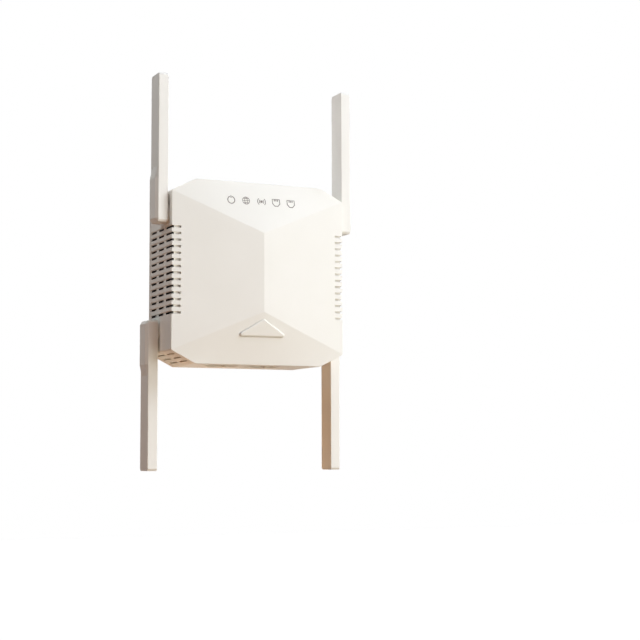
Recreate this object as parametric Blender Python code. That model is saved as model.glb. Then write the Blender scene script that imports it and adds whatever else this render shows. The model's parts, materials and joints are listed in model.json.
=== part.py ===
"""Plug-in wireless range extender with four folding antennas, built as an assembly of separate pieces.

Units are metres and +Z is up. The origin is the centre of the rear face. +Y points out of the back,
into the socket, and the crowned front faces -Y.
"""

import math

import bmesh
import bpy
from mathutils import Vector

MM = 0.001

# Housing
BODY_WIDTH = 72.0 * MM
BODY_HEIGHT = 71.0 * MM
BODY_DEPTH = 26.2 * MM  # from the rear face to the front rim
CORNER_WIDTH = 9.8 * MM
CORNER_HEIGHT = 5.0 * MM
RIDGE_RISE = 5.1 * MM  # how far the ridge stands ahead of the rim
RIDGE_LENGTH = 30.5 * MM
WALL = 1.8 * MM
FACE_WALL = 1.8 * MM
SEAT_GAP = 0.3 * MM  # clearance between pieces that seat on each other
REAR_PLATE = 1.5 * MM
LIP_HEIGHT = 1.2 * MM
LIP_WALL = 1.2 * MM

# Vents in the side walls, running round the front edge, and in the four slanted corners
VENT_HEIGHT = 0.9 * MM
VENT_PITCH = 2.52 * MM
VENT_LENGTH = 5.5 * MM
VENT_BRIDGE = 2.8 * MM  # plastic left between two slots of a row
VENT_FRONT_REACH = 7.0 * MM  # how far the front slot runs back from the rim
VENT_FACE_REACH = 3.5 * MM  # how far it runs in from the edge of the front
VENT_FACE_DEPTH = 0.6 * MM
VENT_CLEAR_OF_ANTENNA = 1.5 * MM
CORNER_VENT_ROWS = 3
CORNER_VENT_PITCH = 2.85 * MM
CORNER_VENT_LENGTH = 7.8 * MM
CORNER_VENT_START = 3.1 * MM

# Antennas
ANTENNA_LENGTH = 57.6 * MM
ANTENNA_WIDTH = 8.9 * MM
ANTENNA_THICKNESS = 3.9 * MM
ANTENNA_STANDOFF = 0.77 * MM  # from the side wall to the antenna
ANTENNA_SETBACK = 2.2 * MM  # from the rim to the front pair
LANE_GAP = 1.5 * MM  # between the front pair's lane and the rear pair's
ANTENNA_ROUND = 1.2 * MM
ANTENNA_WALL = 1.0 * MM
PAD_RISE = 0.9 * MM
PAD_LENGTH = 17.0 * MM
PAD_WEDGE = 4.3 * MM
PAD_SIDE_SLOPE = 1.2 * MM
PAD_LEDGE = 0.15 * MM
PIVOT_FROM_CORNER = 8.5 * MM  # below the slanted corner
PIVOT_FROM_END = 3.6 * MM  # from the antenna's base end
PIVOT_RADIUS = 2.5 * MM
PIVOT_BORE = 1.0 * MM
PIVOT_REACH = 2.9 * MM  # past the inside of the wall
COLLAR_RADIUS = 4.2 * MM
CLIP_RADIUS = 3.8 * MM
CLIP_THICKNESS = 0.6 * MM
CLIP_BITE = 0.6 * MM  # depth of the groove that holds the clip
CLIP_MOUTH = 3.0 * MM
RADIATOR_THICKNESS = 0.8 * MM
LEAD_RADIUS = 0.5 * MM
LEAD_BEND_STEPS = 10
CONNECTOR_RADIUS = 1.3 * MM
CONNECTOR_HEIGHT = 1.2 * MM
CONNECTOR_INSET = 2.6 * MM  # from the edge of the board
UPPER_CONNECTOR_DROP = 5.0 * MM  # from the pivot's height towards the middle
LOWER_CONNECTOR_DROP = 8.0 * MM

# Main board and what it carries
BOARD_THICKNESS = 1.2 * MM
BOARD_SETBACK = 3.2 * MM  # from the rim to the board's front
BOARD_SIDE_MARGIN = 8.2 * MM
BOARD_TOP_MARGIN = 2.7 * MM
BOARD_BOTTOM_MARGIN = 0.9 * MM
STATUS_PITCH = 6.35 * MM
STATUS_COUNT = 5
STATUS_FROM_TOP = 7.4 * MM
LED_WIDTH = 1.6 * MM
LED_LENGTH = 0.9 * MM
LED_HEIGHT = 0.7 * MM
GUIDE_THICKNESS = 0.9 * MM
GUIDE_HALF_HEIGHT = 1.5 * MM
GUIDE_POST_RADIUS = 1.2 * MM
SHIELD_WIDTH = 24.0 * MM
SHIELD_HEIGHT = 18.0 * MM
SHIELD_DEPTH = 2.2 * MM
SHIELD_SHEET = 0.3 * MM
SHIELD_UP = 3.0 * MM
CHIP_SIDE = 10.0 * MM
CHIP_DEPTH = 1.0 * MM
SWITCH_SIDE = 6.0 * MM
SWITCH_DEPTH = 1.2 * MM
PLUNGER_RADIUS = 1.5 * MM
PLUNGER_RISE = 0.5 * MM
PLUNGER_HOLE = 0.9 * MM

# Button
BUTTON_FROM_BOTTOM = 10.7 * MM
BUTTON_HEIGHT = 6.95 * MM
BUTTON_WIDTH = 22.6 * MM
BUTTON_ROUND = 0.8 * MM
BUTTON_PROUD = 0.6 * MM
BUTTON_FLANGE = 0.9 * MM
BUTTON_FLANGE_THICKNESS = 0.8 * MM
BUTTON_STEM_RADIUS = 1.2 * MM

# Network jacks
JACK_WIDTH = 15.4 * MM
JACK_DEPTH = 13.0 * MM
JACK_LENGTH = 16.5 * MM
JACK_PITCH = 17.5 * MM
JACK_FROM_BOSS = 0.95 * MM  # from the lower left boss to the pair
MOUTH_WIDTH = 11.8 * MM
MOUTH_DEPTH = 7.5 * MM
MOUTH_LENGTH = 14.3 * MM
MOUTH_FLOOR = 1.5 * MM  # jack wall on the board's side of the mouth
LATCH_WIDTH = 6.2 * MM
LATCH_DEPTH = 2.0 * MM
CONTACT_COUNT = 8
CONTACT_PITCH = 1.02 * MM
CONTACT_SIDE = 0.4 * MM
CONTACT_LENGTH = 8.0 * MM
CONTACT_RISE = 1.4 * MM
INSERT_DEPTH = 2.4 * MM
INSERT_LENGTH = 3.0 * MM

# Screws and bosses
SCREW_HEAD_RADIUS = 1.75 * MM
SCREW_HEAD_HEIGHT = 1.1 * MM
SCREW_CROWN = 0.5 * MM  # rounding of the head's edge
SCREW_RADIUS = 0.7 * MM
SCREW_LENGTH = 8.0 * MM
SCREW_PAD_RADIUS = 3.2 * MM
SCREW_PAD_HEIGHT = 1.2 * MM
BOSS_RADIUS = 2.0 * MM
BOSS_FOOT_RADIUS = 2.9 * MM
BOSS_FROM_BOARD_EDGE = 3.2 * MM
BOSS_FROM_BOARD_END = 3.6 * MM
CLAMP_POST_RADIUS = 1.6 * MM

# Power supply
BLADE_SPACING = 12.7 * MM
BLADE_THICKNESS = 1.5 * MM
BLADE_WIDTH = 6.35 * MM
BLADE_LENGTH = 16.5 * MM
BLADE_TIP = 1.2 * MM
BLADE_HOLE_RADIUS = 1.5 * MM
BLADE_HOLE_FROM_TIP = 4.6 * MM
BLADE_SHOULDER = 1.4 * MM
BLADE_SHOULDER_WIDTH = 9.4 * MM
POWER_STANDOFF = 4.0 * MM
POWER_BOARD_CLEAR = 1.3 * MM  # from the bosses beside it
POWER_BOARD_BELOW = 12.0 * MM
POWER_BOARD_TOP_MARGIN = 4.0 * MM
POWER_POST_RADIUS = 1.6 * MM
POWER_PIN_RADIUS = 0.8 * MM
POWER_POST_INSET = 3.0 * MM
CORE_WIDTH = 13.0 * MM
CORE_HEIGHT = 13.0 * MM
CORE_DEPTH = 6.0 * MM
CORE_LEG = 2.6 * MM
CORE_MIDDLE_LEG = 4.0 * MM
CORE_UP = 12.0 * MM
WINDING_WALL = 1.4 * MM
INPUT_CAPACITOR_RADIUS = 4.0 * MM
OUTPUT_CAPACITOR_RADIUS = 3.1 * MM
CAPACITOR_HEIGHT = 9.5 * MM
CAPACITOR_GAP = 1.2 * MM  # from the transformer
LINK_WIDTH = 2.6 * MM
LINK_LENGTH = 9.0 * MM
LINK_INSET = 2.4 * MM

# Facets
ROUND_STEPS = 24
SMALL_ROUND_STEPS = 16
CORNER_STEPS = 3
CROWN_STEPS = 6
OVERCUT = 1.0 * MM  # how far a cutter runs past what it cuts
FUSE = 0.5 * MM  # how deep a feature sits in what carries it

# Worked out from the sizes above
HALF_WIDTH = BODY_WIDTH / 2
HALF_HEIGHT = BODY_HEIGHT / 2
HALF_RIDGE = RIDGE_LENGTH / 2
RIM_Y = -BODY_DEPTH
COVER_BACK_Y = -REAR_PLATE - SEAT_GAP
PLATE_INNER_Y = -REAR_PLATE
BOARD_FRONT_Y = RIM_Y + BOARD_SETBACK
BOARD_REAR_Y = BOARD_FRONT_Y + BOARD_THICKNESS
BOARD_HALF_WIDTH = HALF_WIDTH - WALL - BOARD_SIDE_MARGIN
BOARD_TOP = HALF_HEIGHT - WALL - BOARD_TOP_MARGIN
BOARD_BOTTOM = -HALF_HEIGHT + WALL + BOARD_BOTTOM_MARGIN
BOSS_X = BOARD_HALF_WIDTH - BOSS_FROM_BOARD_EDGE
BOSS_TOP = BOARD_TOP - BOSS_FROM_BOARD_END
BOSS_BOTTOM = BOARD_BOTTOM + BOSS_FROM_BOARD_END
BOSS_END_Y = PLATE_INNER_Y - SCREW_PAD_HEIGHT - SEAT_GAP
BOSS_PLACES = [(x, z) for z in (BOSS_TOP, BOSS_BOTTOM) for x in (-BOSS_X, BOSS_X)]
POWER_REAR_Y = PLATE_INNER_Y - POWER_STANDOFF
POWER_FRONT_Y = POWER_REAR_Y - BOARD_THICKNESS
POWER_SEAT_Y = POWER_FRONT_Y - SEAT_GAP
POWER_TOP = HALF_HEIGHT - WALL - POWER_BOARD_TOP_MARGIN
POWER_HALF_WIDTH = BOSS_X - BOSS_RADIUS - POWER_BOARD_CLEAR
STATUS_Z = HALF_HEIGHT - STATUS_FROM_TOP
STATUS_XS = [(i - (STATUS_COUNT - 1) / 2) * STATUS_PITCH for i in range(STATUS_COUNT)]
LED_FRONT_Y = BOARD_FRONT_Y - SEAT_GAP - LED_HEIGHT
GUIDE_BACK_Y = LED_FRONT_Y - SEAT_GAP
GUIDE_FRONT_Y = GUIDE_BACK_Y - GUIDE_THICKNESS
JACK_LEFT_X = -BOSS_X + BOSS_RADIUS + JACK_FROM_BOSS + JACK_WIDTH / 2
JACK_XS = {"left": JACK_LEFT_X, "right": JACK_LEFT_X + JACK_PITCH}
JACK_FRONT_Y = BOARD_REAR_Y + SEAT_GAP
JACK_FACE_Z = -HALF_HEIGHT + WALL + SEAT_GAP
MOUTH_Y = JACK_FRONT_Y + MOUTH_FLOOR
BUTTON_BASE_Z = -HALF_HEIGHT + BUTTON_FROM_BOTTOM
BUTTON_APEX_Z = BUTTON_BASE_Z + BUTTON_HEIGHT
SWITCH_Z = BUTTON_BASE_Z + BUTTON_HEIGHT / 3
SWITCH_FRONT_Y = BOARD_FRONT_Y - SEAT_GAP - SWITCH_DEPTH
PIVOT_Z = HALF_HEIGHT - CORNER_HEIGHT - PIVOT_FROM_CORNER
FRONT_LANE_Y = RIM_Y + ANTENNA_SETBACK + ANTENNA_WIDTH / 2
REAR_LANE_Y = FRONT_LANE_Y + ANTENNA_WIDTH + LANE_GAP
BASE_END = PIVOT_FROM_END  # the antenna reaches this far past its pivot
BLADE_XS = {"left": -BLADE_SPACING / 2, "right": BLADE_SPACING / 2}

FINISHES = {
    "ivory_shell": ((0.86, 0.84, 0.80), 0.5, 0.0),
    "clear_guide": ((0.90, 0.90, 0.88), 0.2, 0.0),
    "black_plastic": ((0.03, 0.03, 0.035), 0.45, 0.0),
    "jack_plastic": ((0.06, 0.06, 0.065), 0.4, 0.0),
    "green_board": ((0.03, 0.20, 0.08), 0.45, 0.0),
    "bare_steel": ((0.62, 0.62, 0.64), 0.3, 1.0),
    "nickel": ((0.72, 0.70, 0.66), 0.25, 1.0),
    "brass": ((0.76, 0.60, 0.30), 0.3, 1.0),
    "ferrite": ((0.10, 0.10, 0.10), 0.6, 0.0),
    "yellow_tape": ((0.85, 0.65, 0.10), 0.5, 0.0),
    "sleeve_black": ((0.05, 0.05, 0.07), 0.35, 0.0),
    "lead_grey": ((0.30, 0.30, 0.31), 0.5, 0.0),
    "led_white": ((0.92, 0.92, 0.85), 0.3, 0.0),
}


def clear_scene():
    """Remove every object that the scene starts with."""
    for obj in list(bpy.data.objects):
        bpy.data.objects.remove(obj, do_unlink=True)


def finish_material(name, finish):
    """A material of the piece's own, from the table of finishes."""
    colour, roughness, metallic = FINISHES[finish]
    material = bpy.data.materials.new(name)
    material.use_nodes = True
    shader = material.node_tree.nodes["Principled BSDF"]
    shader.inputs["Base Color"].default_value = (*colour, 1.0)
    shader.inputs["Roughness"].default_value = roughness
    shader.inputs["Metallic"].default_value = metallic
    return material


def add_object(name, bm, parent=None):
    """Turn the bmesh into a linked object with outward faces."""
    bmesh.ops.remove_doubles(bm, verts=bm.verts, dist=1e-7)
    bmesh.ops.recalc_face_normals(bm, faces=bm.faces)
    mesh = bpy.data.meshes.new(name)
    bm.to_mesh(mesh)
    bm.free()
    obj = bpy.data.objects.new(name, mesh)
    bpy.context.scene.collection.objects.link(obj)
    obj.parent = parent
    return obj


def add_piece(name, bm, finish, parent=None):
    """A sub-part of the product, with its own material."""
    obj = add_object(name, bm, parent)
    obj.data.materials.append(finish_material(name, finish))
    return obj


def add_tool(name, bm, parent=None):
    """A shape that only cuts or joins a sub-part, and is no sub-part itself."""
    obj = add_object(name, bm, parent)
    obj.hide_render = True
    obj.display_type = "WIRE"
    return obj


def combine(piece, tool, operation):
    """Cut the tool from the piece, or join it on, with a Boolean that stays live."""
    boolean = piece.modifiers.new(tool.name, "BOOLEAN")
    boolean.object = tool
    boolean.operation = operation
    boolean.solver = "EXACT"


def cut(piece, tool):
    """Take the tool away from the piece."""
    combine(piece, tool, "DIFFERENCE")


def join(piece, tool):
    """Fuse the tool to the piece."""
    combine(piece, tool, "UNION")


def smooth(piece):
    """Shade round faces smooth and keep corners sharp."""
    piece.data.shade_smooth()
    piece.data.set_sharp_from_angle(angle=math.radians(35))


def at(axis, height, a, b):
    """The point at this height along an axis, with a and b on the other two in X, Y, Z order."""
    return Vector({"X": (height, a, b), "Y": (a, height, b), "Z": (a, b, height)}[axis])


def ring(outline, axis, height):
    """A flat outline placed square to an axis."""
    return [at(axis, height, a, b) for a, b in outline]


def rectangle(a0, a1, b0, b1):
    """Outline of a rectangle."""
    return [(a0, b0), (a1, b0), (a1, b1), (a0, b1)]


def circle(a, b, radius, steps=ROUND_STEPS):
    """Outline of a circle."""
    turns = [2 * math.pi * i / steps for i in range(steps)]
    return [(a + radius * math.cos(t), b + radius * math.sin(t)) for t in turns]


def rounded(corners, radii, steps=CORNER_STEPS):
    """A convex outline whose corners are arcs of the given radii."""
    outline = []
    for i, (corner, radius) in enumerate(zip(corners, radii)):
        here = Vector(corner)
        back = (Vector(corners[i - 1]) - here).normalized()
        on = (Vector(corners[(i + 1) % len(corners)]) - here).normalized()
        half = back.angle(on) / 2
        centre = here + (back + on).normalized() * (radius / math.sin(half))
        start = here + back * (radius / math.tan(half)) - centre
        end = here + on * (radius / math.tan(half)) - centre
        sweep = start.angle_signed(end)
        for step in range(steps + 1):
            turn = -sweep * step / steps
            arm = Vector((start.x * math.cos(turn) - start.y * math.sin(turn), 0.0))
            arm.y = start.x * math.sin(turn) + start.y * math.cos(turn)
            outline.append(tuple(centre + arm))
    return outline


def add_loft(bm, rings):
    """Add a closed solid that runs through rings of equally many points."""
    loops = [[bm.verts.new(point) for point in points] for points in rings]
    for low, high in zip(loops, loops[1:]):
        for i in range(len(low)):
            j = (i + 1) % len(low)
            bm.faces.new((low[i], low[j], high[j], high[i]))
    bm.faces.new(loops[0])
    bm.faces.new(loops[-1])


def add_prism(bm, outline, axis, start, end):
    """Add an outline pulled straight along an axis."""
    add_loft(bm, [ring(outline, axis, start), ring(outline, axis, end)])


def add_box(bm, low, high):
    """Add a box between two corners."""
    add_prism(bm, rectangle(low[0], high[0], low[1], high[1]), "Z", low[2], high[2])


def prism(outline, axis, start, end):
    """A new bmesh that holds one prism."""
    bm = bmesh.new()
    add_prism(bm, outline, axis, start, end)
    return bm


def box(low, high):
    """A new bmesh that holds one box."""
    bm = bmesh.new()
    add_box(bm, low, high)
    return bm


def octagon(inset):
    """Reach of the housing's outline moved inwards: side, top, top edge's end, side edge's end."""
    side, top = HALF_WIDTH - inset, HALF_HEIGHT - inset
    slant = math.hypot(CORNER_WIDTH, CORNER_HEIGHT)
    across, up = CORNER_HEIGHT / slant, CORNER_WIDTH / slant
    reach = across * HALF_WIDTH + up * (HALF_HEIGHT - CORNER_HEIGHT) - inset
    return side, top, (reach - up * top) / across, (reach - across * side) / up


def octagon_outline(inset):
    """The housing's eight corners, moved inwards, as (x, z)."""
    side, top, top_end, side_end = octagon(inset)
    quarter = [(side, side_end), (top_end, top)]
    left = [(-x, z) for x, z in reversed(quarter)]
    return quarter + left + [(-x, -z) for x, z in quarter + left]


def crown_patch(inset, x_sign, z_sign, rim_y):
    """Grid of points on one quarter of the top or bottom facet, ruled from the hip to the edge."""
    side, top, top_end, side_end = octagon(inset)
    hip_low = Vector((x_sign * side, rim_y, z_sign * side_end))
    hip_high = Vector((0.0, rim_y - RIDGE_RISE, z_sign * HALF_RIDGE))
    edge_low = Vector((x_sign * top_end, rim_y, z_sign * top))
    edge_high = Vector((0.0, rim_y, z_sign * top))
    grid = []
    for row in range(CROWN_STEPS + 1):
        v = row / CROWN_STEPS
        start, end = hip_low.lerp(edge_low, v), hip_high.lerp(edge_high, v)
        grid.append([start.lerp(end, column / CROWN_STEPS) for column in range(CROWN_STEPS + 1)])
    return grid


def crowned_block(inset, rim_y, back_y):
    """The housing's form as a closed solid: an octagon with a ridged front of four facets."""
    bm = bmesh.new()

    def face(points):
        bm.faces.new([bm.verts.new(point) for point in points])

    def behind(point):
        return Vector((point.x, back_y, point.z))

    patches = {(x, z): crown_patch(inset, x, z, rim_y) for x in (-1, 1) for z in (-1, 1)}
    for grid in patches.values():
        for row, following in zip(grid, grid[1:]):
            for i in range(CROWN_STEPS):
                face((row[i], row[i + 1], following[i + 1], following[i]))
        corner = [row[0] for row in grid]
        face(corner + [behind(corner[-1]), behind(corner[0])])
    for x in (-1, 1):
        upper, lower = patches[x, 1][0], patches[x, -1][0]
        face(upper + lower[::-1])
        face((upper[0], lower[0], behind(lower[0]), behind(upper[0])))
    for z in (-1, 1):
        edge = patches[-1, z][-1] + patches[1, z][-1][-2::-1]
        face(edge + [behind(edge[-1]), behind(edge[0])])
    face(ring(octagon_outline(inset), "Y", back_y))
    return bm


def crown_height(x, z, inset=0.0):
    """How far the crowned front stands ahead of its rim at a place."""
    side, top, top_end, side_end = octagon(inset)
    x, z = abs(x), abs(z)
    if z <= HALF_RIDGE + (side_end - HALF_RIDGE) * x / side:
        return RIDGE_RISE * (1 - x / side)
    low, high = 0.0, 1.0
    for _ in range(40):
        v = (low + high) / 2
        u = 1 - x / (side * (1 - v) + top_end * v)
        if (1 - v) * (side_end * (1 - u) + HALF_RIDGE * u) + v * top < z:
            low = v
        else:
            high = v
    return RIDGE_RISE * u * (1 - v)


def inside_face_y(x, z):
    """Depth of the inner side of the front wall at a place."""
    return RIM_Y + FACE_WALL - crown_height(x, z, WALL)


def vent_rows():
    """Heights of the side vents, as many as fit between the antennas."""
    clear = PIVOT_Z - BASE_END - VENT_CLEAR_OF_ANTENNA - VENT_HEIGHT / 2
    count = int(2 * clear / VENT_PITCH) + 1
    return [(i - (count - 1) / 2) * VENT_PITCH for i in range(count)]


def side_vents():
    """Cutter for both side walls' slots; the front slot of each row runs round the edge of the front."""
    bm = bmesh.new()
    outer, inner = HALF_WIDTH + OVERCUT, HALF_WIDTH - WALL - SEAT_GAP
    face_end = HALF_WIDTH - VENT_FACE_REACH
    front = RIM_Y - RIDGE_RISE
    floor = RIM_Y + VENT_FACE_DEPTH
    back = RIM_Y + VENT_FRONT_REACH
    bent = [(outer, front), (outer, back), (inner, back), (inner, floor)]
    bent += [(face_end, floor), (face_end, front)]
    step = VENT_LENGTH + VENT_BRIDGE
    starts = [back + VENT_BRIDGE, back + VENT_BRIDGE + step]
    for z in vent_rows():
        low, high = z - VENT_HEIGHT / 2, z + VENT_HEIGHT / 2
        for sign in (-1, 1):
            add_prism(bm, [(sign * x, y) for x, y in bent], "Z", low, high)
            for start in starts:
                slot = rectangle(sign * inner, sign * outer, start, start + VENT_LENGTH)
                add_prism(bm, slot, "Z", low, high)
    return add_tool("side_vents", bm)


def corner_vents():
    """Cutter for the slots in the four slanted corners."""
    bm = bmesh.new()
    slant = Vector((-CORNER_WIDTH, CORNER_HEIGHT)).normalized()
    outward = Vector((CORNER_HEIGHT, CORNER_WIDTH)).normalized()
    middle = Vector((HALF_WIDTH - CORNER_WIDTH / 2, HALF_HEIGHT - CORNER_HEIGHT / 2))
    first = RIM_Y + CORNER_VENT_START
    second = first + CORNER_VENT_LENGTH + VENT_BRIDGE
    for row in range(CORNER_VENT_ROWS):
        centre = middle + slant * ((row - (CORNER_VENT_ROWS - 1) / 2) * CORNER_VENT_PITCH)
        outer, inner = centre + outward * OVERCUT, centre - outward * (WALL + SEAT_GAP)
        half = slant * (VENT_HEIGHT / 2)
        outline = [outer - half, outer + half, inner + half, inner - half]
        for x_sign in (-1, 1):
            for z_sign in (-1, 1):
                turned = [(p.x * x_sign, p.y * z_sign) for p in outline]
                for start in (first, second):
                    add_prism(bm, turned, "Y", start, start + CORNER_VENT_LENGTH)
    return add_tool("corner_vents", bm)


def mouth_outline(centre, clearance):
    """Outline of a network jack's mouth with its latch notch, as (x, y)."""
    half, notch = MOUTH_WIDTH / 2 + clearance, LATCH_WIDTH / 2 + clearance
    front, back = MOUTH_Y - clearance, MOUTH_Y + MOUTH_DEPTH + clearance
    deep = back + LATCH_DEPTH
    half_outline = [(half, front), (half, back), (notch, back), (notch, deep)]
    return [(centre + x, y) for x, y in half_outline] + [(centre - x, y) for x, y in reversed(half_outline)]


def button_outline(growth):
    """Rounded triangle of the button, grown evenly, as (x, z)."""
    half = BUTTON_WIDTH / 2
    lean = math.atan2(BUTTON_HEIGHT, half)
    wide = half + growth / math.tan(lean / 2)
    high = BUTTON_APEX_Z + growth / math.cos(lean)
    low = BUTTON_BASE_Z - growth
    return rounded([(-wide, low), (wide, low), (0.0, high)], [BUTTON_ROUND + growth] * 3)


def antenna_places():
    """Name, side, tier and pivot of each antenna."""
    places = []
    for tier, z_sign, lane in (("upper", 1, FRONT_LANE_Y), ("lower", -1, REAR_LANE_Y)):
        for hand, x_sign in (("left", -1), ("right", 1)):
            pivot = Vector((x_sign * HALF_WIDTH, lane, z_sign * PIVOT_Z))
            places.append((f"{tier}_{hand}", x_sign, z_sign, pivot))
    return places


def pivot_features(radius, start, end):
    """Cylinders on all four pivot axes, between two distances from the middle."""
    bm = bmesh.new()
    for _, x_sign, _, pivot in antenna_places():
        add_prism(bm, circle(pivot.y, pivot.z, radius), "X", x_sign * start, x_sign * end)
    return bm


def boss_features(radius, start_y, end_y, steps=ROUND_STEPS):
    """Cylinders on all four screw axes."""
    bm = bmesh.new()
    for x, z in BOSS_PLACES:
        add_prism(bm, circle(x, z, radius, steps), "Y", start_y, end_y)
    return bm


def cover_bosses():
    """Feet that the main board sits on, each with a neck that reaches the rear cover."""
    bm = bmesh.new()
    shoulder = BOARD_FRONT_Y - SEAT_GAP
    for x, z in BOSS_PLACES:
        start = inside_face_y(x, z) - FACE_WALL / 2
        rings = [(BOSS_FOOT_RADIUS, start), (BOSS_FOOT_RADIUS, shoulder)]
        rings += [(BOSS_RADIUS, shoulder), (BOSS_RADIUS, BOSS_END_Y)]
        add_loft(bm, [ring(circle(x, z, radius), "Y", y) for radius, y in rings])
    return add_tool("cover_bosses", bm)


def build_front_cover():
    """Crowned shell with vents, jack mouths, a button window, pivot holes and screw bosses."""
    cover = add_piece("front_cover", crowned_block(0.0, RIM_Y, COVER_BACK_Y), "ivory_shell")
    cut(cover, add_tool("cover_hollow", crowned_block(WALL, RIM_Y + FACE_WALL, OVERCUT)))
    collar_end = HALF_WIDTH + ANTENNA_STANDOFF - SEAT_GAP
    join(cover, add_tool("pivot_collars", pivot_features(COLLAR_RADIUS, HALF_WIDTH - FUSE, collar_end)))
    holes = pivot_features(PIVOT_RADIUS + SEAT_GAP, HALF_WIDTH - WALL - OVERCUT, collar_end + OVERCUT)
    cut(cover, add_tool("pivot_holes", holes))
    cut(cover, side_vents())
    cut(cover, corner_vents())
    mouths = bmesh.new()
    for x in JACK_XS.values():
        add_prism(mouths, mouth_outline(x, SEAT_GAP), "Z", -HALF_HEIGHT - OVERCUT, JACK_FACE_Z + FUSE)
    cut(cover, add_tool("cover_mouths", mouths))
    window = prism(button_outline(SEAT_GAP), "Y", RIM_Y - RIDGE_RISE - OVERCUT, BOARD_FRONT_Y)
    cut(cover, add_tool("button_window", window))
    join(cover, cover_bosses())
    pilot_end = BOSS_END_Y - SCREW_LENGTH - OVERCUT
    pilots = boss_features(SCREW_RADIUS + SEAT_GAP, pilot_end, BOSS_END_Y + FUSE, SMALL_ROUND_STEPS)
    cut(cover, add_tool("pilot_holes", pilots))


def power_posts():
    """Where the rear cover's posts carry the power board."""
    x = POWER_HALF_WIDTH - POWER_POST_INSET
    heights = (POWER_TOP - POWER_POST_INSET, POWER_POST_INSET - POWER_BOARD_BELOW)
    return [(sign * x, z) for sign in (-1, 1) for z in heights]


def blade_outline(centre, clearance):
    """Section of one plug blade, as (x, z)."""
    half, wide = BLADE_THICKNESS / 2 + clearance, BLADE_WIDTH / 2 + clearance
    return rectangle(centre - half, centre + half, -wide, wide)


def build_rear_cover():
    """Flat back with a locating lip, screw pads, board posts and two blade slots."""
    cover = add_piece("rear_cover", prism(octagon_outline(0.0), "Y", PLATE_INNER_Y, 0.0), "ivory_shell")
    outer, inner = WALL + SEAT_GAP, WALL + SEAT_GAP + LIP_WALL
    lip_end = PLATE_INNER_Y - LIP_HEIGHT
    lip = add_tool("lip", prism(octagon_outline(outer), "Y", lip_end, PLATE_INNER_Y + FUSE))
    cut(lip, add_tool("lip_hollow", prism(octagon_outline(inner), "Y", lip_end - OVERCUT, FUSE)))
    join(cover, lip)
    pad_end = PLATE_INNER_Y - SCREW_PAD_HEIGHT
    join(cover, add_tool("screw_pads", boss_features(SCREW_PAD_RADIUS, pad_end, PLATE_INNER_Y + FUSE)))
    posts = bmesh.new()
    for x, z in power_posts():
        rings = [(POWER_PIN_RADIUS, POWER_FRONT_Y), (POWER_PIN_RADIUS, POWER_REAR_Y + SEAT_GAP)]
        rings += [(POWER_POST_RADIUS, POWER_REAR_Y + SEAT_GAP), (POWER_POST_RADIUS, PLATE_INNER_Y + FUSE)]
        add_loft(posts, [ring(circle(x, z, radius, SMALL_ROUND_STEPS), "Y", y) for radius, y in rings])
    for sign in (-1, 1):
        foot = circle(sign * BOSS_X, 0.0, CLAMP_POST_RADIUS, SMALL_ROUND_STEPS)
        add_prism(posts, foot, "Y", BOARD_REAR_Y + SEAT_GAP, PLATE_INNER_Y + FUSE)
    join(cover, add_tool("board_posts", posts))
    shank = SCREW_RADIUS + SEAT_GAP
    cut(cover, add_tool("screw_holes", boss_features(shank, pad_end - OVERCUT, OVERCUT, SMALL_ROUND_STEPS)))
    head, depth = SCREW_HEAD_RADIUS + SEAT_GAP, SCREW_HEAD_HEIGHT + SEAT_GAP
    cut(cover, add_tool("screw_recesses", boss_features(head, -depth, OVERCUT)))
    slots = bmesh.new()
    for x in BLADE_XS.values():
        add_prism(slots, blade_outline(x, SEAT_GAP), "Y", PLATE_INNER_Y - OVERCUT, OVERCUT)
    cut(cover, add_tool("blade_slots", slots))


def build_screws():
    """Pan-head screws that hold the rear cover to the front cover's bosses."""
    names = ("top_left", "top_right", "bottom_left", "bottom_right")
    head_y = -SCREW_HEAD_HEIGHT
    for name, (x, z) in zip(names, BOSS_PLACES):
        rings = [(SCREW_RADIUS, head_y - SCREW_LENGTH), (SCREW_RADIUS, head_y)]
        rings += [(SCREW_HEAD_RADIUS, head_y), (SCREW_HEAD_RADIUS, -SCREW_CROWN)]
        rings.append((SCREW_HEAD_RADIUS - SCREW_CROWN, 0.0))
        bm = bmesh.new()
        add_loft(bm, [ring(circle(x, z, radius, SMALL_ROUND_STEPS), "Y", y) for radius, y in rings])
        smooth(add_piece(f"case_screw_{name}", bm, "bare_steel"))


def build_main_board():
    """Main board, notched by four holes for the bosses that it sits on."""
    low = (-BOARD_HALF_WIDTH, BOARD_FRONT_Y, BOARD_BOTTOM)
    board = add_piece("main_board", box(low, (BOARD_HALF_WIDTH, BOARD_REAR_Y, BOARD_TOP)), "green_board")
    holes = boss_features(BOSS_RADIUS + SEAT_GAP, BOARD_FRONT_Y - OVERCUT, BOARD_REAR_Y + OVERCUT)
    cut(board, add_tool("board_holes", holes))


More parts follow.
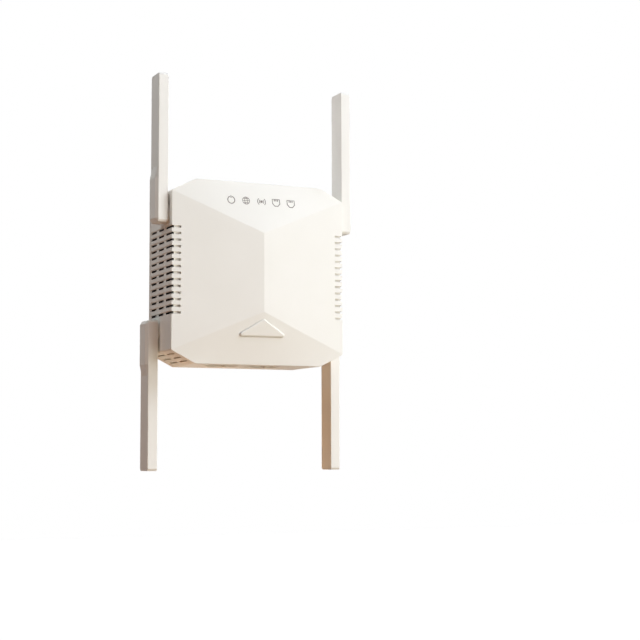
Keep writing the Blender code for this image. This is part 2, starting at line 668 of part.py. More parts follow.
def build_status_lights():
    """Row of light emitters and the clear guide that carries their light to the front."""
    guide_end = STATUS_XS[-1] + GUIDE_POST_RADIUS + GUIDE_THICKNESS
    low = (-guide_end, GUIDE_FRONT_Y, STATUS_Z - GUIDE_HALF_HEIGHT)
    high = (guide_end, GUIDE_BACK_Y, STATUS_Z + GUIDE_HALF_HEIGHT)
    guide = add_piece("light_guide", box(low, high), "clear_guide")
    posts = bmesh.new()
    for index, x in enumerate(STATUS_XS, start=1):
        led_low = (x - LED_WIDTH / 2, LED_FRONT_Y, STATUS_Z - LED_LENGTH / 2)
        led_high = (x + LED_WIDTH / 2, LED_FRONT_Y + LED_HEIGHT, STATUS_Z + LED_LENGTH / 2)
        add_piece(f"status_led_{index}", box(led_low, led_high), "led_white")
        tip = inside_face_y(x, STATUS_Z + GUIDE_POST_RADIUS) + SEAT_GAP
        post = circle(x, STATUS_Z, GUIDE_POST_RADIUS, SMALL_ROUND_STEPS)
        add_prism(posts, post, "Y", min(tip, GUIDE_FRONT_Y), GUIDE_BACK_Y - GUIDE_THICKNESS / 2)
    for sign in (-1, 1):
        ends = sorted((sign * guide_end, sign * (guide_end - GUIDE_THICKNESS)))
        leg_low = (ends[0], GUIDE_BACK_Y - GUIDE_THICKNESS / 2, STATUS_Z - GUIDE_HALF_HEIGHT / 2)
        add_box(posts, leg_low, (ends[1], BOARD_FRONT_Y - SEAT_GAP, STATUS_Z + GUIDE_HALF_HEIGHT / 2))
    join(guide, add_tool("guide_posts", posts))


def build_radio():
    """Radio chip under its sheet-metal shield, in front of the main board."""
    back = BOARD_FRONT_Y - SEAT_GAP
    half, top = SHIELD_WIDTH / 2, SHIELD_UP + SHIELD_HEIGHT / 2
    shield_low = (-half, back - SHIELD_DEPTH, SHIELD_UP - SHIELD_HEIGHT / 2)
    shield = add_piece("radio_shield", box(shield_low, (half, back, top)), "nickel")
    sheet = Vector((SHIELD_SHEET, SHIELD_SHEET, SHIELD_SHEET))
    hollow_high = Vector((half, back + OVERCUT, top)) - Vector((SHIELD_SHEET, 0.0, SHIELD_SHEET))
    cut(shield, add_tool("shield_hollow", box(Vector(shield_low) + sheet, hollow_high)))
    chip = CHIP_SIDE / 2
    chip_body = box((-chip, back - CHIP_DEPTH, SHIELD_UP - chip), (chip, back, SHIELD_UP + chip))
    add_piece("radio_chip", chip_body, "black_plastic")


def build_button():
    """Triangular button with a retaining flange and a stem, and the switch that it presses."""
    slope = RIDGE_RISE / (HALF_HEIGHT - HALF_RIDGE)
    inner_slope = RIDGE_RISE / (HALF_HEIGHT - WALL - HALF_RIDGE)

    def front_y(z):
        return RIM_Y - slope * (HALF_HEIGHT + z) - BUTTON_PROUD

    flange = button_outline(BUTTON_FLANGE)
    seat = max(inside_face_y(x, z) - inner_slope * -z for x, z in flange) + SEAT_GAP

    def seat_y(z):
        return seat - inner_slope * z

    def slanted(outline, start_y, end_y):
        bm = bmesh.new()
        add_loft(bm, [[Vector((x, depth(z), z)) for x, z in outline] for depth in (start_y, end_y)])
        return bm

    def flange_middle_y(z):
        return seat_y(z) + BUTTON_FLANGE_THICKNESS / 2

    def flange_back_y(z):
        return seat_y(z) + BUTTON_FLANGE_THICKNESS

    cap = slanted(button_outline(0.0), front_y, flange_middle_y)
    button = add_piece("pairing_button", cap, "ivory_shell")
    join(button, add_tool("button_flange", slanted(flange, seat_y, flange_back_y)))
    plunger_front = SWITCH_FRONT_Y - PLUNGER_RISE
    stem = circle(0.0, SWITCH_Z, BUTTON_STEM_RADIUS, SMALL_ROUND_STEPS)
    stem_start = flange_middle_y(SWITCH_Z)
    join(button, add_tool("button_stem", prism(stem, "Y", stem_start, plunger_front - SEAT_GAP)))

    half = SWITCH_SIDE / 2
    body = rectangle(-half, half, SWITCH_Z - half, SWITCH_Z + half)
    switch_body = prism(body, "Y", SWITCH_FRONT_Y, SWITCH_FRONT_Y + SWITCH_DEPTH)
    switch = add_piece("tact_switch", switch_body, "black_plastic")
    hole = circle(0.0, SWITCH_Z, PLUNGER_RADIUS + SEAT_GAP, SMALL_ROUND_STEPS)
    hole_tool = prism(hole, "Y", SWITCH_FRONT_Y - OVERCUT, SWITCH_FRONT_Y + PLUNGER_HOLE)
    cut(switch, add_tool("plunger_hole", hole_tool))
    plunger = circle(0.0, SWITCH_Z, PLUNGER_RADIUS, SMALL_ROUND_STEPS)
    plunger_body = prism(plunger, "Y", plunger_front, SWITCH_FRONT_Y + SEAT_GAP)
    smooth(add_piece("switch_plunger", plunger_body, "jack_plastic"))


def build_jack(hand):
    """Network jack with an open mouth, and the insert that holds its eight spring contacts."""
    x = JACK_XS[hand]
    half = JACK_WIDTH / 2
    body = rectangle(x - half, x + half, JACK_FRONT_Y, JACK_FRONT_Y + JACK_DEPTH)
    jack_body = prism(body, "Z", JACK_FACE_Z, JACK_FACE_Z + JACK_LENGTH)
    jack = add_piece(f"network_jack_{hand}", jack_body, "jack_plastic")
    mouth = prism(mouth_outline(x, 0.0), "Z", JACK_FACE_Z - OVERCUT, JACK_FACE_Z + MOUTH_LENGTH)
    cut(jack, add_tool(f"jack_mouth_{hand}", mouth))
    floor_y, end_z = MOUTH_Y + SEAT_GAP, JACK_FACE_Z + MOUTH_LENGTH - SEAT_GAP
    wide = MOUTH_WIDTH / 2 - SEAT_GAP
    block = rectangle(x - wide, x + wide, floor_y, floor_y + INSERT_DEPTH)
    insert = add_piece(f"jack_contacts_{hand}", prism(block, "Z", end_z - INSERT_LENGTH, end_z), "brass")
    springs = bmesh.new()
    root_z, tip_z = end_z - INSERT_LENGTH / 2, end_z - INSERT_LENGTH - CONTACT_LENGTH
    for index in range(CONTACT_COUNT):
        middle = x + (index - (CONTACT_COUNT - 1) / 2) * CONTACT_PITCH
        sides = (middle - CONTACT_SIDE / 2, middle + CONTACT_SIDE / 2)
        root_y, tip_y = floor_y + CONTACT_SIDE, floor_y + CONTACT_RISE
        outline = [(tip_y, tip_z), (tip_y + CONTACT_SIDE, tip_z)]
        outline += [(root_y + CONTACT_SIDE, root_z), (root_y, root_z)]
        add_prism(springs, outline, "X", *sides)
    join(insert, add_tool(f"contact_springs_{hand}", springs))


def build_blade(hand):
    """Flat plug blade with a pointed tip, a hole, an inner shoulder and a solder tab."""
    x = BLADE_XS[hand]
    half, shoulder = BLADE_WIDTH / 2, BLADE_SHOULDER_WIDTH / 2
    seat_y = PLATE_INNER_Y - SEAT_GAP
    shoulder_y = seat_y - BLADE_SHOULDER
    right = [(BLADE_LENGTH, half - BLADE_TIP), (BLADE_LENGTH - BLADE_TIP, half)]
    right += [(seat_y, half), (seat_y, shoulder), (shoulder_y, shoulder), (shoulder_y, half)]
    right.append((POWER_REAR_Y + SEAT_GAP, half))
    outline = right + [(y, -z) for y, z in reversed(right)]
    sides = (x - BLADE_THICKNESS / 2, x + BLADE_THICKNESS / 2)
    blade = add_piece(f"plug_blade_{hand}", prism(outline, "X", *sides), "brass")
    hole = circle(BLADE_LENGTH - BLADE_HOLE_FROM_TIP, 0.0, BLADE_HOLE_RADIUS, SMALL_ROUND_STEPS)
    cut(blade, add_tool(f"blade_hole_{hand}", prism(hole, "X", sides[0] - OVERCUT, sides[1] + OVERCUT)))


def build_power_supply():
    """Power board on the rear cover's posts, and the link that feeds the main board."""
    low = (-POWER_HALF_WIDTH, POWER_FRONT_Y, -POWER_BOARD_BELOW)
    board = add_piece("power_board", box(low, (POWER_HALF_WIDTH, POWER_REAR_Y, POWER_TOP)), "green_board")
    holes = bmesh.new()
    for x, z in power_posts():
        pin = circle(x, z, POWER_PIN_RADIUS + SEAT_GAP, SMALL_ROUND_STEPS)
        add_prism(holes, pin, "Y", POWER_FRONT_Y - OVERCUT, POWER_REAR_Y + OVERCUT)
    cut(board, add_tool("post_holes", holes))
    link_x = POWER_HALF_WIDTH - LINK_INSET
    link_low = (link_x - LINK_WIDTH, BOARD_REAR_Y + SEAT_GAP, -LINK_LENGTH / 2)
    add_piece("power_link", box(link_low, (link_x, POWER_SEAT_Y, LINK_LENGTH / 2)), "black_plastic")


def build_transformer():
    """Ferrite core of three legs, with the winding round its middle leg."""
    half, top = CORE_WIDTH / 2, CORE_HEIGHT / 2
    leg, middle = half - CORE_LEG, CORE_MIDDLE_LEG / 2
    window_top = top - CORE_LEG
    back = POWER_SEAT_Y - WINDING_WALL - SEAT_GAP
    front = back - CORE_DEPTH
    block = rectangle(-half, half, CORE_UP - top, CORE_UP + top)
    core = add_piece("transformer_core", prism(block, "Y", front, back), "ferrite")
    windows = bmesh.new()
    for sign in (-1, 1):
        sides = rectangle(sign * middle, sign * leg, CORE_UP - window_top, CORE_UP + window_top)
        add_prism(windows, sides, "Y", front - OVERCUT, back + OVERCUT)
    cut(core, add_tool("core_windows", windows))
    reach, hollow = leg - SEAT_GAP, middle + SEAT_GAP
    tall = window_top - SEAT_GAP
    around = rectangle(-reach, reach, front - SEAT_GAP - WINDING_WALL, POWER_SEAT_Y)
    wound = prism(around, "Z", CORE_UP - tall, CORE_UP + tall)
    winding = add_piece("transformer_winding", wound, "yellow_tape")
    bore = rectangle(-hollow, hollow, front - SEAT_GAP, back + SEAT_GAP)
    bore_tool = prism(bore, "Z", CORE_UP - tall - OVERCUT, CORE_UP + tall + OVERCUT)
    cut(winding, add_tool("winding_bore", bore_tool))


def build_capacitor(name, sign, radius):
    """Capacitor can that stands on the power board beside the transformer."""
    can = circle(sign * (CORE_WIDTH / 2 + CAPACITOR_GAP + radius), CORE_UP, radius)
    body = prism(can, "Y", POWER_SEAT_Y - CAPACITOR_HEIGHT, POWER_SEAT_Y)
    smooth(add_piece(name, body, "sleeve_black"))


def antenna_outline(x_inset, end_inset, length, round_radius):
    """Outline of an antenna seen from its side, as (y, z) about the pivot, with z along its length."""
    half = ANTENNA_WIDTH / 2 - x_inset
    corners = rectangle(-half, half, end_inset - BASE_END, length - BASE_END)
    return rounded(corners, [round_radius] * 4)


def build_antenna(name, x_sign, z_sign, pivot):
    """Hollow antenna bar on a pivot stub, with its radiator and the clip that keeps it in the wall."""
    frame = bpy.data.objects.new(f"pivot_{name}", None)
    frame.location = pivot
    bpy.context.scene.collection.objects.link(frame)

    def section(outline, x):
        return [Vector((x_sign * x, y, z_sign * z)) for y, z in outline]

    def shape(*sections):
        bm = bmesh.new()
        add_loft(bm, [section(outline, x) for outline, x in sections])
        return bm

    inner_x, outer_x = ANTENNA_STANDOFF, ANTENNA_STANDOFF + ANTENNA_THICKNESS
    bar = antenna_outline(0.0, 0.0, ANTENNA_LENGTH, ANTENNA_ROUND)
    sleeve = add_piece(f"antenna_{name}", shape((bar, inner_x), (bar, outer_x)), "ivory_shell", frame)

    foot = antenna_outline(PAD_LEDGE, PAD_LEDGE, PAD_LENGTH + PAD_WEDGE, ANTENNA_ROUND - PAD_LEDGE)
    slope = PAD_LEDGE + PAD_SIDE_SLOPE
    crest = antenna_outline(slope, slope, PAD_LENGTH, ANTENNA_ROUND - PAD_LEDGE)
    pad = shape((foot, outer_x - FUSE), (foot, outer_x), (crest, outer_x + PAD_RISE))
    join(sleeve, add_tool(f"pad_{name}", pad, frame))

    stub_end = -WALL - PIVOT_REACH
    groove_in = stub_end + CLIP_THICKNESS + SEAT_GAP
    groove_out = groove_in + CLIP_THICKNESS + 2 * SEAT_GAP
    neck = circle(0.0, 0.0, PIVOT_RADIUS - CLIP_BITE)
    stub = circle(0.0, 0.0, PIVOT_RADIUS)
    stub_sections = [(stub, stub_end), (stub, groove_in), (neck, groove_in)]
    stub_sections += [(neck, groove_out), (stub, groove_out), (stub, inner_x + FUSE)]
    join(sleeve, add_tool(f"stub_{name}", shape(*stub_sections), frame))

    wall = ANTENNA_WALL
    cavity = antenna_outline(wall, wall, ANTENNA_LENGTH - wall, ANTENNA_ROUND / 2)
    hollow = shape((cavity, inner_x + wall), (cavity, outer_x - wall))
    cut(sleeve, add_tool(f"cavity_{name}", hollow, frame))
    bore = circle(0.0, 0.0, PIVOT_BORE, SMALL_ROUND_STEPS)
    bore_tool = shape((bore, stub_end - OVERCUT), (bore, inner_x + wall + FUSE))
    cut(sleeve, add_tool(f"bore_{name}", bore_tool, frame))

    strip_x = inner_x + wall + SEAT_GAP
    half = ANTENNA_WIDTH / 2 - wall - SEAT_GAP
    strip = rectangle(-half, half, PIVOT_BORE + SEAT_GAP, ANTENNA_LENGTH - BASE_END - wall - 2 * SEAT_GAP)
    strip_body = shape((strip, strip_x), (strip, strip_x + RADIATOR_THICKNESS))
    add_piece(f"antenna_radiator_{name}", strip_body, "green_board", frame)

    clip_x = groove_in + SEAT_GAP
    clip_end = clip_x + CLIP_THICKNESS
    disc = circle(0.0, 0.0, CLIP_RADIUS)
    clip = add_piece(f"antenna_clip_{name}", shape((disc, clip_x), (disc, clip_end)), "bare_steel", frame)
    grip = circle(0.0, 0.0, PIVOT_RADIUS - CLIP_BITE + SEAT_GAP)
    mouth = rectangle(-CLIP_MOUTH / 2, CLIP_MOUTH / 2, 0.0, CLIP_RADIUS + OVERCUT)
    for label, outline in (("bore", grip), ("mouth", mouth)):
        tool = shape((outline, clip_x - OVERCUT), (outline, clip_end + OVERCUT))
        cut(clip, add_tool(f"clip_{label}_{name}", tool, frame))


def build_lead(name, x_sign, z_sign, pivot):
    """Coaxial lead from the antenna, through its hollow pivot, to a connector on the main board."""
    drop = UPPER_CONNECTOR_DROP if z_sign > 0 else LOWER_CONNECTOR_DROP
    plug_x = BOARD_HALF_WIDTH - CONNECTOR_INSET
    plug_z = pivot.z - z_sign * drop
    plug_y = BOARD_REAR_Y + SEAT_GAP
    body = circle(x_sign * plug_x, plug_z, CONNECTOR_RADIUS, SMALL_ROUND_STEPS)
    plug = prism(body, "Y", plug_y, plug_y + CONNECTOR_HEIGHT)
    smooth(add_piece(f"lead_connector_{name}", plug, "brass"))

    start = Vector((x_sign * (HALF_WIDTH + ANTENNA_STANDOFF + ANTENNA_WALL), pivot.y, pivot.z))
    turn = Vector((x_sign * (HALF_WIDTH - WALL - PIVOT_REACH - SEAT_GAP), pivot.y, pivot.z))
    end_x = plug_x + CONNECTOR_RADIUS + SEAT_GAP
    end = Vector((x_sign * end_x, plug_y + CONNECTOR_HEIGHT / 2, plug_z))
    pull = Vector(((end.x - turn.x) / 2, 0.0, 0.0))
    points = [start]
    for step in range(LEAD_BEND_STEPS + 1):
        t = step / LEAD_BEND_STEPS
        weights = ((1 - t) ** 3, 3 * t * (1 - t) ** 2, 3 * t * t * (1 - t), t**3)
        points.append(sum((w * p for w, p in zip(weights, (turn, turn + pull, end - pull, end))), Vector()))
    curve = bpy.data.curves.new(f"antenna_lead_{name}", "CURVE")
    curve.dimensions = "3D"
    curve.bevel_depth = LEAD_RADIUS
    curve.bevel_resolution = 2
    curve.use_fill_caps = True
    spline = curve.splines.new("POLY")
    spline.points.add(len(points) - 1)
    for knot, point in zip(spline.points, points):
        knot.co = (*point, 1.0)
    curve.materials.append(finish_material(curve.name, "lead_grey"))
    bpy.context.scene.collection.objects.link(bpy.data.objects.new(curve.name, curve))


def main():
    """Build every piece of the extender."""
    clear_scene()
    build_front_cover()
    build_rear_cover()
    build_screws()
    build_main_board()
    build_status_lights()
    build_radio()
    build_button()
    build_power_supply()
    build_transformer()
    build_capacitor("input_capacitor", -1, INPUT_CAPACITOR_RADIUS)
    build_capacitor("output_capacitor", 1, OUTPUT_CAPACITOR_RADIUS)
    for hand in ("left", "right"):
        build_jack(hand)
        build_blade(hand)
    for place in antenna_places():
        build_antenna(*place)
        build_lead(*place)


main()
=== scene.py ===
"""Dressed model of a plug-in wireless range extender with four folding antennas.

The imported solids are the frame. Every moulding that shows is built again here with softened edges, finer
curves and its own finish. The pieces inside keep their solids and get a finish.
"""

import json
import logging
import math
from collections.abc import Callable, Iterator, Sequence
from dataclasses import dataclass
from enum import Enum
from functools import cache

import bmesh
import bpy
from mathutils import Matrix, Vector

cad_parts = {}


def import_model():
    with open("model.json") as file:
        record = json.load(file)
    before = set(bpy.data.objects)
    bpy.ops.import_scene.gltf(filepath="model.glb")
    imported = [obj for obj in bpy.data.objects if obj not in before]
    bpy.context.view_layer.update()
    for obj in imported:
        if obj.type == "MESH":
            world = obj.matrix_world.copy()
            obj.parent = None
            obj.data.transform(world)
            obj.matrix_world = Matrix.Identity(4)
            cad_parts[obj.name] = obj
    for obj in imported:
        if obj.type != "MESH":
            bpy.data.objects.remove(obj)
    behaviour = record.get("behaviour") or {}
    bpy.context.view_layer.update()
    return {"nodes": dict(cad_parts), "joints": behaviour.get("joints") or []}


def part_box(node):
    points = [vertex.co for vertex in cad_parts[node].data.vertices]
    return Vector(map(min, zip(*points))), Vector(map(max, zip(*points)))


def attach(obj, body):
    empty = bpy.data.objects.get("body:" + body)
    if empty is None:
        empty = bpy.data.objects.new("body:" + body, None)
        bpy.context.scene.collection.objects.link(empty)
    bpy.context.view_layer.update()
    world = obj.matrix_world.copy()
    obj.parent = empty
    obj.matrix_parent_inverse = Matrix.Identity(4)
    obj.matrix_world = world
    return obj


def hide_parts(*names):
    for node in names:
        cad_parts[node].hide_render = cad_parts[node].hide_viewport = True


LOG = logging.getLogger("range_extender")
MM = 0.001
MERGE = 0.001 * MM
NEAR = 10 * MERGE
OVERCUT = 1.0 * MM
FUSE = 0.5 * MM
# folds in degrees: faces that fold less are joined, and edges that fold more stay crisp
FLAT_FOLD = 0.5
CRISP_FOLD = 30.0
ROUND_PROFILE = 0.5
ROUND_STEPS = 48
# share of its length that an edge runs along Y, if it counts as running back
STRAIGHT = 0.99
UNIT = (0.0, 1.0)
WHITE = (1.0, 1.0, 1.0, 1.0)
# a grid of unit size reaches this far on each side of its middle
HALF_GRID = 0.5
TRACKS_PER_CELL = 6.0
HANDS = ("left", "right")

Piece = bpy.types.Object
Socket = bpy.types.NodeSocket
Edge = bmesh.types.BMEdge
Tree = bpy.types.NodeTree
Material = bpy.types.Material
Colour = Spot = tuple[float, float, float]
Outline = list[tuple[float, float]]
Ring = Sequence[Vector]
EdgeTest = Callable[[Edge], bool]
Feeds = dict[str | int, object]


class Axis(Enum):
    """Direction that a flat outline is pulled along."""

    X = "x"
    Y = "y"
    Z = "z"

    def point(self, height: float, a: float, b: float) -> Vector:
        """Place a flat point, given by the other two coordinates in order, at a height along this axis."""
        return Vector({"x": (height, a, b), "y": (a, height, b), "z": (a, b, height)}[self.value])


class Operation(Enum):
    """What a tool does to a piece."""

    CUT = "DIFFERENCE"
    JOIN = "UNION"


class Side(Enum):
    """Left or right of the housing, as the sign of X."""

    LEFT = -1
    RIGHT = 1


class Tier(Enum):
    """Upper or lower end of the housing, as the sign of Z."""

    UPPER = 1
    LOWER = -1


class SocketKind(Enum):
    """Types of a node tree's inputs and outputs."""

    COUNT = "NodeSocketInt"
    NUMBER = "NodeSocketFloat"
    VECTOR = "NodeSocketVector"
    OBJECT = "NodeSocketObject"
    MATERIAL = "NodeSocketMaterial"
    GEOMETRY = "NodeSocketGeometry"


class Mix(Enum):
    """What a mix node mixes, with the numbers of its two inputs and of its output."""

    VECTOR = (4, 5, 1)
    RGBA = (6, 7, 2)


def rectangle(a0: float, a1: float, b0: float, b1: float) -> Outline:
    """Corners of a rectangle from its start and end in the first and in the second direction."""
    return [(a0, b0), (a1, b0), (a1, b1), (a0, b1)]


def circle(a: float, b: float, radius: float, steps: int = ROUND_STEPS) -> Outline:
    """Points round a circle about a centre, at so many equal steps."""
    turns = [2 * math.pi * i / steps for i in range(steps)]
    return [(a + radius * math.cos(turn), b + radius * math.sin(turn)) for turn in turns]


def arc(centre: tuple[float, float], radius: float, start: float, end: float, steps: int) -> Outline:
    """Points along an arc between two angles in degrees, one more than there are steps."""
    turns = [math.radians(start + (end - start) * i / steps) for i in range(steps + 1)]
    return [(centre[0] + radius * math.cos(t), centre[1] + radius * math.sin(t)) for t in turns]


def rounded(corners: Outline, radius: float, steps: int = 8) -> Outline:
    """A convex outline whose corners are arcs.

    Args:
        corners: Sharp corners in order.
        radius: Radius of every arc.
        steps: Straight steps in each arc.

    Returns:
        The outline with its arcs.
    """
    outline = []
    for i, corner in enumerate(corners):
        here = Vector(corner)
        back = (Vector(corners[i - 1]) - here).normalized()
        onward = (Vector(corners[(i + 1) % len(corners)]) - here).normalized()
        half = back.angle(onward) / 2
        centre = here + (back + onward).normalized() * (radius / math.sin(half))
        start = here + back * (radius / math.tan(half)) - centre
        end = here + onward * (radius / math.tan(half)) - centre
        sweep = -start.angle_signed(end)
        for step in range(steps + 1):
            outline.append(tuple(centre + Matrix.Rotation(sweep * step / steps, 2) @ start))
    return outline


class Draft:
    """A mesh in the making, of one or more closed shells."""

    def __init__(self) -> None:
        """Start with nothing."""
        self.bm = bmesh.new()

    def face(self, points: Ring) -> None:
        """Add one face through these points."""
        self.bm.faces.new([self.bm.verts.new(point) for point in points])

    def loft(self, rings: Sequence[Ring]) -> "Draft":
        """Add a closed shell that runs through rings of equally many points.

        Args:
            rings: The rings from one end to the other.

        Returns:
            This draft.
        """
        loops = [[self.bm.verts.new(point) for point in ring] for ring in rings]
        for low, high in zip(loops, loops[1:]):
            for i, vert in enumerate(low):
                j = (i + 1) % len(low)
                self.bm.faces.new((vert, low[j], high[j], high[i]))
        self.bm.faces.new(loops[0])
        self.bm.faces.new(loops[-1])
        return self

    def stack(self, axis: Axis, levels: Sequence[tuple[float, Outline]]) -> "Draft":
        """Add a shell through flat outlines, each at a height along an axis, and return this draft."""
        return self.loft([[axis.point(height, a, b) for a, b in outline] for height, outline in levels])

    def prism(self, outline: Outline, axis: Axis, start: float, end: float) -> "Draft":
        """Add an outline pulled straight along an axis from start to end, and return this draft."""
        return self.stack(axis, [(start, outline), (end, outline)])

    def both_sides(self, outline: Outline, axis: Axis, start: float, end: float) -> "Draft":
        """Add a prism and its mirror image in X.

        Args:
            outline: The flat outline, on the right.
            axis: Direction of the pull, along Y or Z.
            start: Where the pull starts.
            end: Where it ends.

        Returns:
            This draft.
        """
        for side in Side:
            self.prism([(side.value * a, b) for a, b in outline], axis, start, end)
        return self

    def turned(self, profile: Outline, a: float, b: float, steps: int = ROUND_STEPS) -> "Draft":
        """Add a solid turned about Y at a and b, from its rings' radii and depths, and return this draft."""
        return self.stack(Axis.Y, [(depth, circle(a, b, radius, steps)) for radius, depth in profile])

    def take(self, piece: Piece) -> None:
        """Add a copy of a piece's mesh and remove the piece."""
        self.bm.from_mesh(piece.data)
        bpy.data.objects.remove(piece)

    def finish(self, name: str) -> Piece:
        """Turn the draft into an object with merged points and outward faces.

        Args:
            name: Name of the object.

        Returns:
            The object, at the origin.
        """
        bmesh.ops.remove_doubles(self.bm, verts=self.bm.verts, dist=MERGE)
        bmesh.ops.recalc_face_normals(self.bm, faces=self.bm.faces)
        mesh = bpy.data.meshes.new(name)
        self.bm.to_mesh(mesh)
        self.bm.free()
        piece = bpy.data.objects.new(name, mesh)
        bpy.context.scene.collection.objects.link(piece)
        return piece


def bake(piece: Piece) -> None:
    """Turn a piece's modifiers into a plain mesh.

    Args:
        piece: The piece, which keeps its name.
    """
    graph = bpy.context.evaluated_depsgraph_get()
    made = bpy.data.meshes.new_from_object(piece.evaluated_get(graph))
    piece.modifiers.clear()
    piece.data = made
    made.name = piece.name


def combine(piece: Piece, tool: Piece, operation: Operation) -> None:
    """Cut a tool from a piece or join it on, and remove the tool.

    Args:
        piece: The piece that is changed.
        tool: The closed shape that changes it.
        operation: Cut or join.
    """
    boolean = piece.modifiers.new(tool.name, "BOOLEAN")
    boolean.object = tool
    boolean.operation = operation.value
    boolean.solver = "EXACT"
    boolean.material_mode = "TRANSFER"
    bake(piece)
    bpy.data.objects.remove(tool)


@dataclass(frozen=True)
class Rounding:
    """How far a rounding reaches from an edge, its steps, and the degrees that an edge must fold by."""

    width: float
    steps: int
    fold: float = 0.0

    def takes(self, edge: Edge) -> bool:
        """Whether an edge lies between two faces and folds by enough."""
        return edge.is_manifold and math.degrees(edge.calc_face_angle()) > self.fold

    def soften(self, piece: Piece, test: EdgeTest | None = None) -> None:
        """Round the edges that fold by enough and pass a test.

        Args:
            piece: The piece whose edges are rounded.
            test: Says which edges to round, or else all.
        """
        bm = bmesh.new()
        bm.from_mesh(piece.data)
        edges = [edge for edge in bm.edges if self.takes(edge) and (test is None or test(edge))]
        form = {"offset_type": "OFFSET", "profile": ROUND_PROFILE, "affect": "EDGES", "clamp_overlap": True}
        bmesh.ops.bevel(bm, geom=edges, offset=self.width, segments=self.steps, material=-1, **form)
        bm.to_mesh(piece.data)
        bm.free()


def shade(piece: Piece) -> None:
    """Shade round faces smooth, and keep folds crisp and flat faces flat.

    Args:
        piece: The piece to shade.
    """
    piece.data.shade_smooth()
    piece.data.set_sharp_from_angle(angle=math.radians(CRISP_FOLD))
    even = piece.modifiers.new("even_normals", "WEIGHTED_NORMAL")
    even.keep_sharp = True


def merged_copy(node: str, name: str) -> Piece:
    """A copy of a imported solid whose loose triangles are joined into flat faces.

    Args:
        node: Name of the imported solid.
        name: Name of the copy.

    Returns:
        The copy.
    """
    draft = Draft()
    bm = draft.bm
    bm.from_mesh(bpy.data.objects[node].data)
    bmesh.ops.remove_doubles(bm, verts=bm.verts, dist=MERGE)
    bmesh.ops.dissolve_limit(bm, angle_limit=math.radians(FLAT_FOLD), verts=bm.verts, edges=bm.edges)
    return draft.finish(name)


class Wiring:
    """Places and links nodes in one node tree."""

    def __init__(self, tree: Tree) -> None:
        """Work on this tree."""
        self.tree = tree

    def node(self, kind: str, feeds: Feeds | None = None, **settings: object) -> bpy.types.Node:
        """Add a node.

        Args:
            kind: Blender's name for the node.
            feeds: What goes into its inputs.
            settings: Properties to set on it.

        Returns:
            The node.
        """
        node = self.tree.nodes.new(kind)
        for key, value in settings.items():
            setattr(node, key, value)
        self.feed(node, feeds or {})
        return node

    def feed(self, node: bpy.types.Node, feeds: Feeds) -> None:
        """Fill inputs of a node.

        Args:
            node: The node.
            feeds: For the name or number of an input, an output to link or a plain value to set.
        """
        for key, value in feeds.items():
            if isinstance(value, Socket):
                self.tree.links.new(value, node.inputs[key])
            else:
                node.inputs[key].default_value = value

    def socket(self, key: str, kind: SocketKind, way: str = "INPUT") -> str:
        """Add a named input or output to the tree as a group, and return its identifier."""
        return self.tree.interface.new_socket(key, in_out=way, socket_type=kind.value).identifier

    def math(self, operation: str, a: object, b: object = 0.0) -> Socket:
        """Work out a sum of two values, by Blender's name for the sum."""
        return self.node("ShaderNodeMath", {0: a, 1: b}, operation=operation).outputs[0]

    def spread(self, value: Socket, low: float, high: float, to: tuple[float, float] = UNIT) -> Socket:
        """Spread a value's range from low to high over another range, and keep it inside."""
        ends = dict(zip(("From Min", "From Max", "To Min", "To Max"), (low, high, *to)))
        return self.node("ShaderNodeMapRange", {"Value": value} | ends).outputs["Result"]

    def mix(self, kind: Mix, factor: Socket, a: object, b: object) -> Socket:
        """Mix two vectors or two colours, where the factor is the share of the second."""
        first, second, out = kind.value
        return self.node("ShaderNodeMix", {0: factor, first: a, second: b}, data_type=kind.name).outputs[out]


class Recipe(Wiring):
    """A Geometry Nodes tree with named inputs, which is run and baked to a plain mesh."""

    def __init__(self, name: str, **inputs: SocketKind) -> None:
        """Start a tree.

        Args:
            name: Name of the tree.
            inputs: Name and type of each of its inputs. A finish is always added.
        """
        super().__init__(bpy.data.node_groups.new(name, "GeometryNodeTree"))
        self.socket("geometry", SocketKind.GEOMETRY, "OUTPUT")
        kinds = inputs | {"finish": SocketKind.MATERIAL}
        self.sockets = {key: self.socket(key, kind) for key, kind in kinds.items()}
        self.start = self.node("NodeGroupInput").outputs

    def close(self, geometry: Socket) -> "Recipe":
        """End the tree in Realize Instances and Set Material.

        Args:
            geometry: What the tree has made.

        Returns:
            This recipe.
        """
        real = self.node("GeometryNodeRealizeInstances", {"Geometry": geometry}).outputs["Geometry"]
        feeds = {"Geometry": real, "Material": self.start["finish"]}
        paint = self.node("GeometryNodeSetMaterial", feeds).outputs["Geometry"]
        self.node("NodeGroupOutput", {"geometry": paint})
        return self

    def make(self, name: str, **values: object) -> Piece:
        """Run the tree and bake what it makes.

        Args:
            name: Name of the new object.
            values: The tree's inputs by name.

        Returns:
            An object with a plain mesh.
        """
        piece = Draft().finish(name)
        modifier = piece.modifiers.new(self.tree.name, "NODES")
        modifier.node_group = self.tree
        for key, value in values.items():
            modifier[self.sockets[key]] = value
        bake(piece)
        return piece


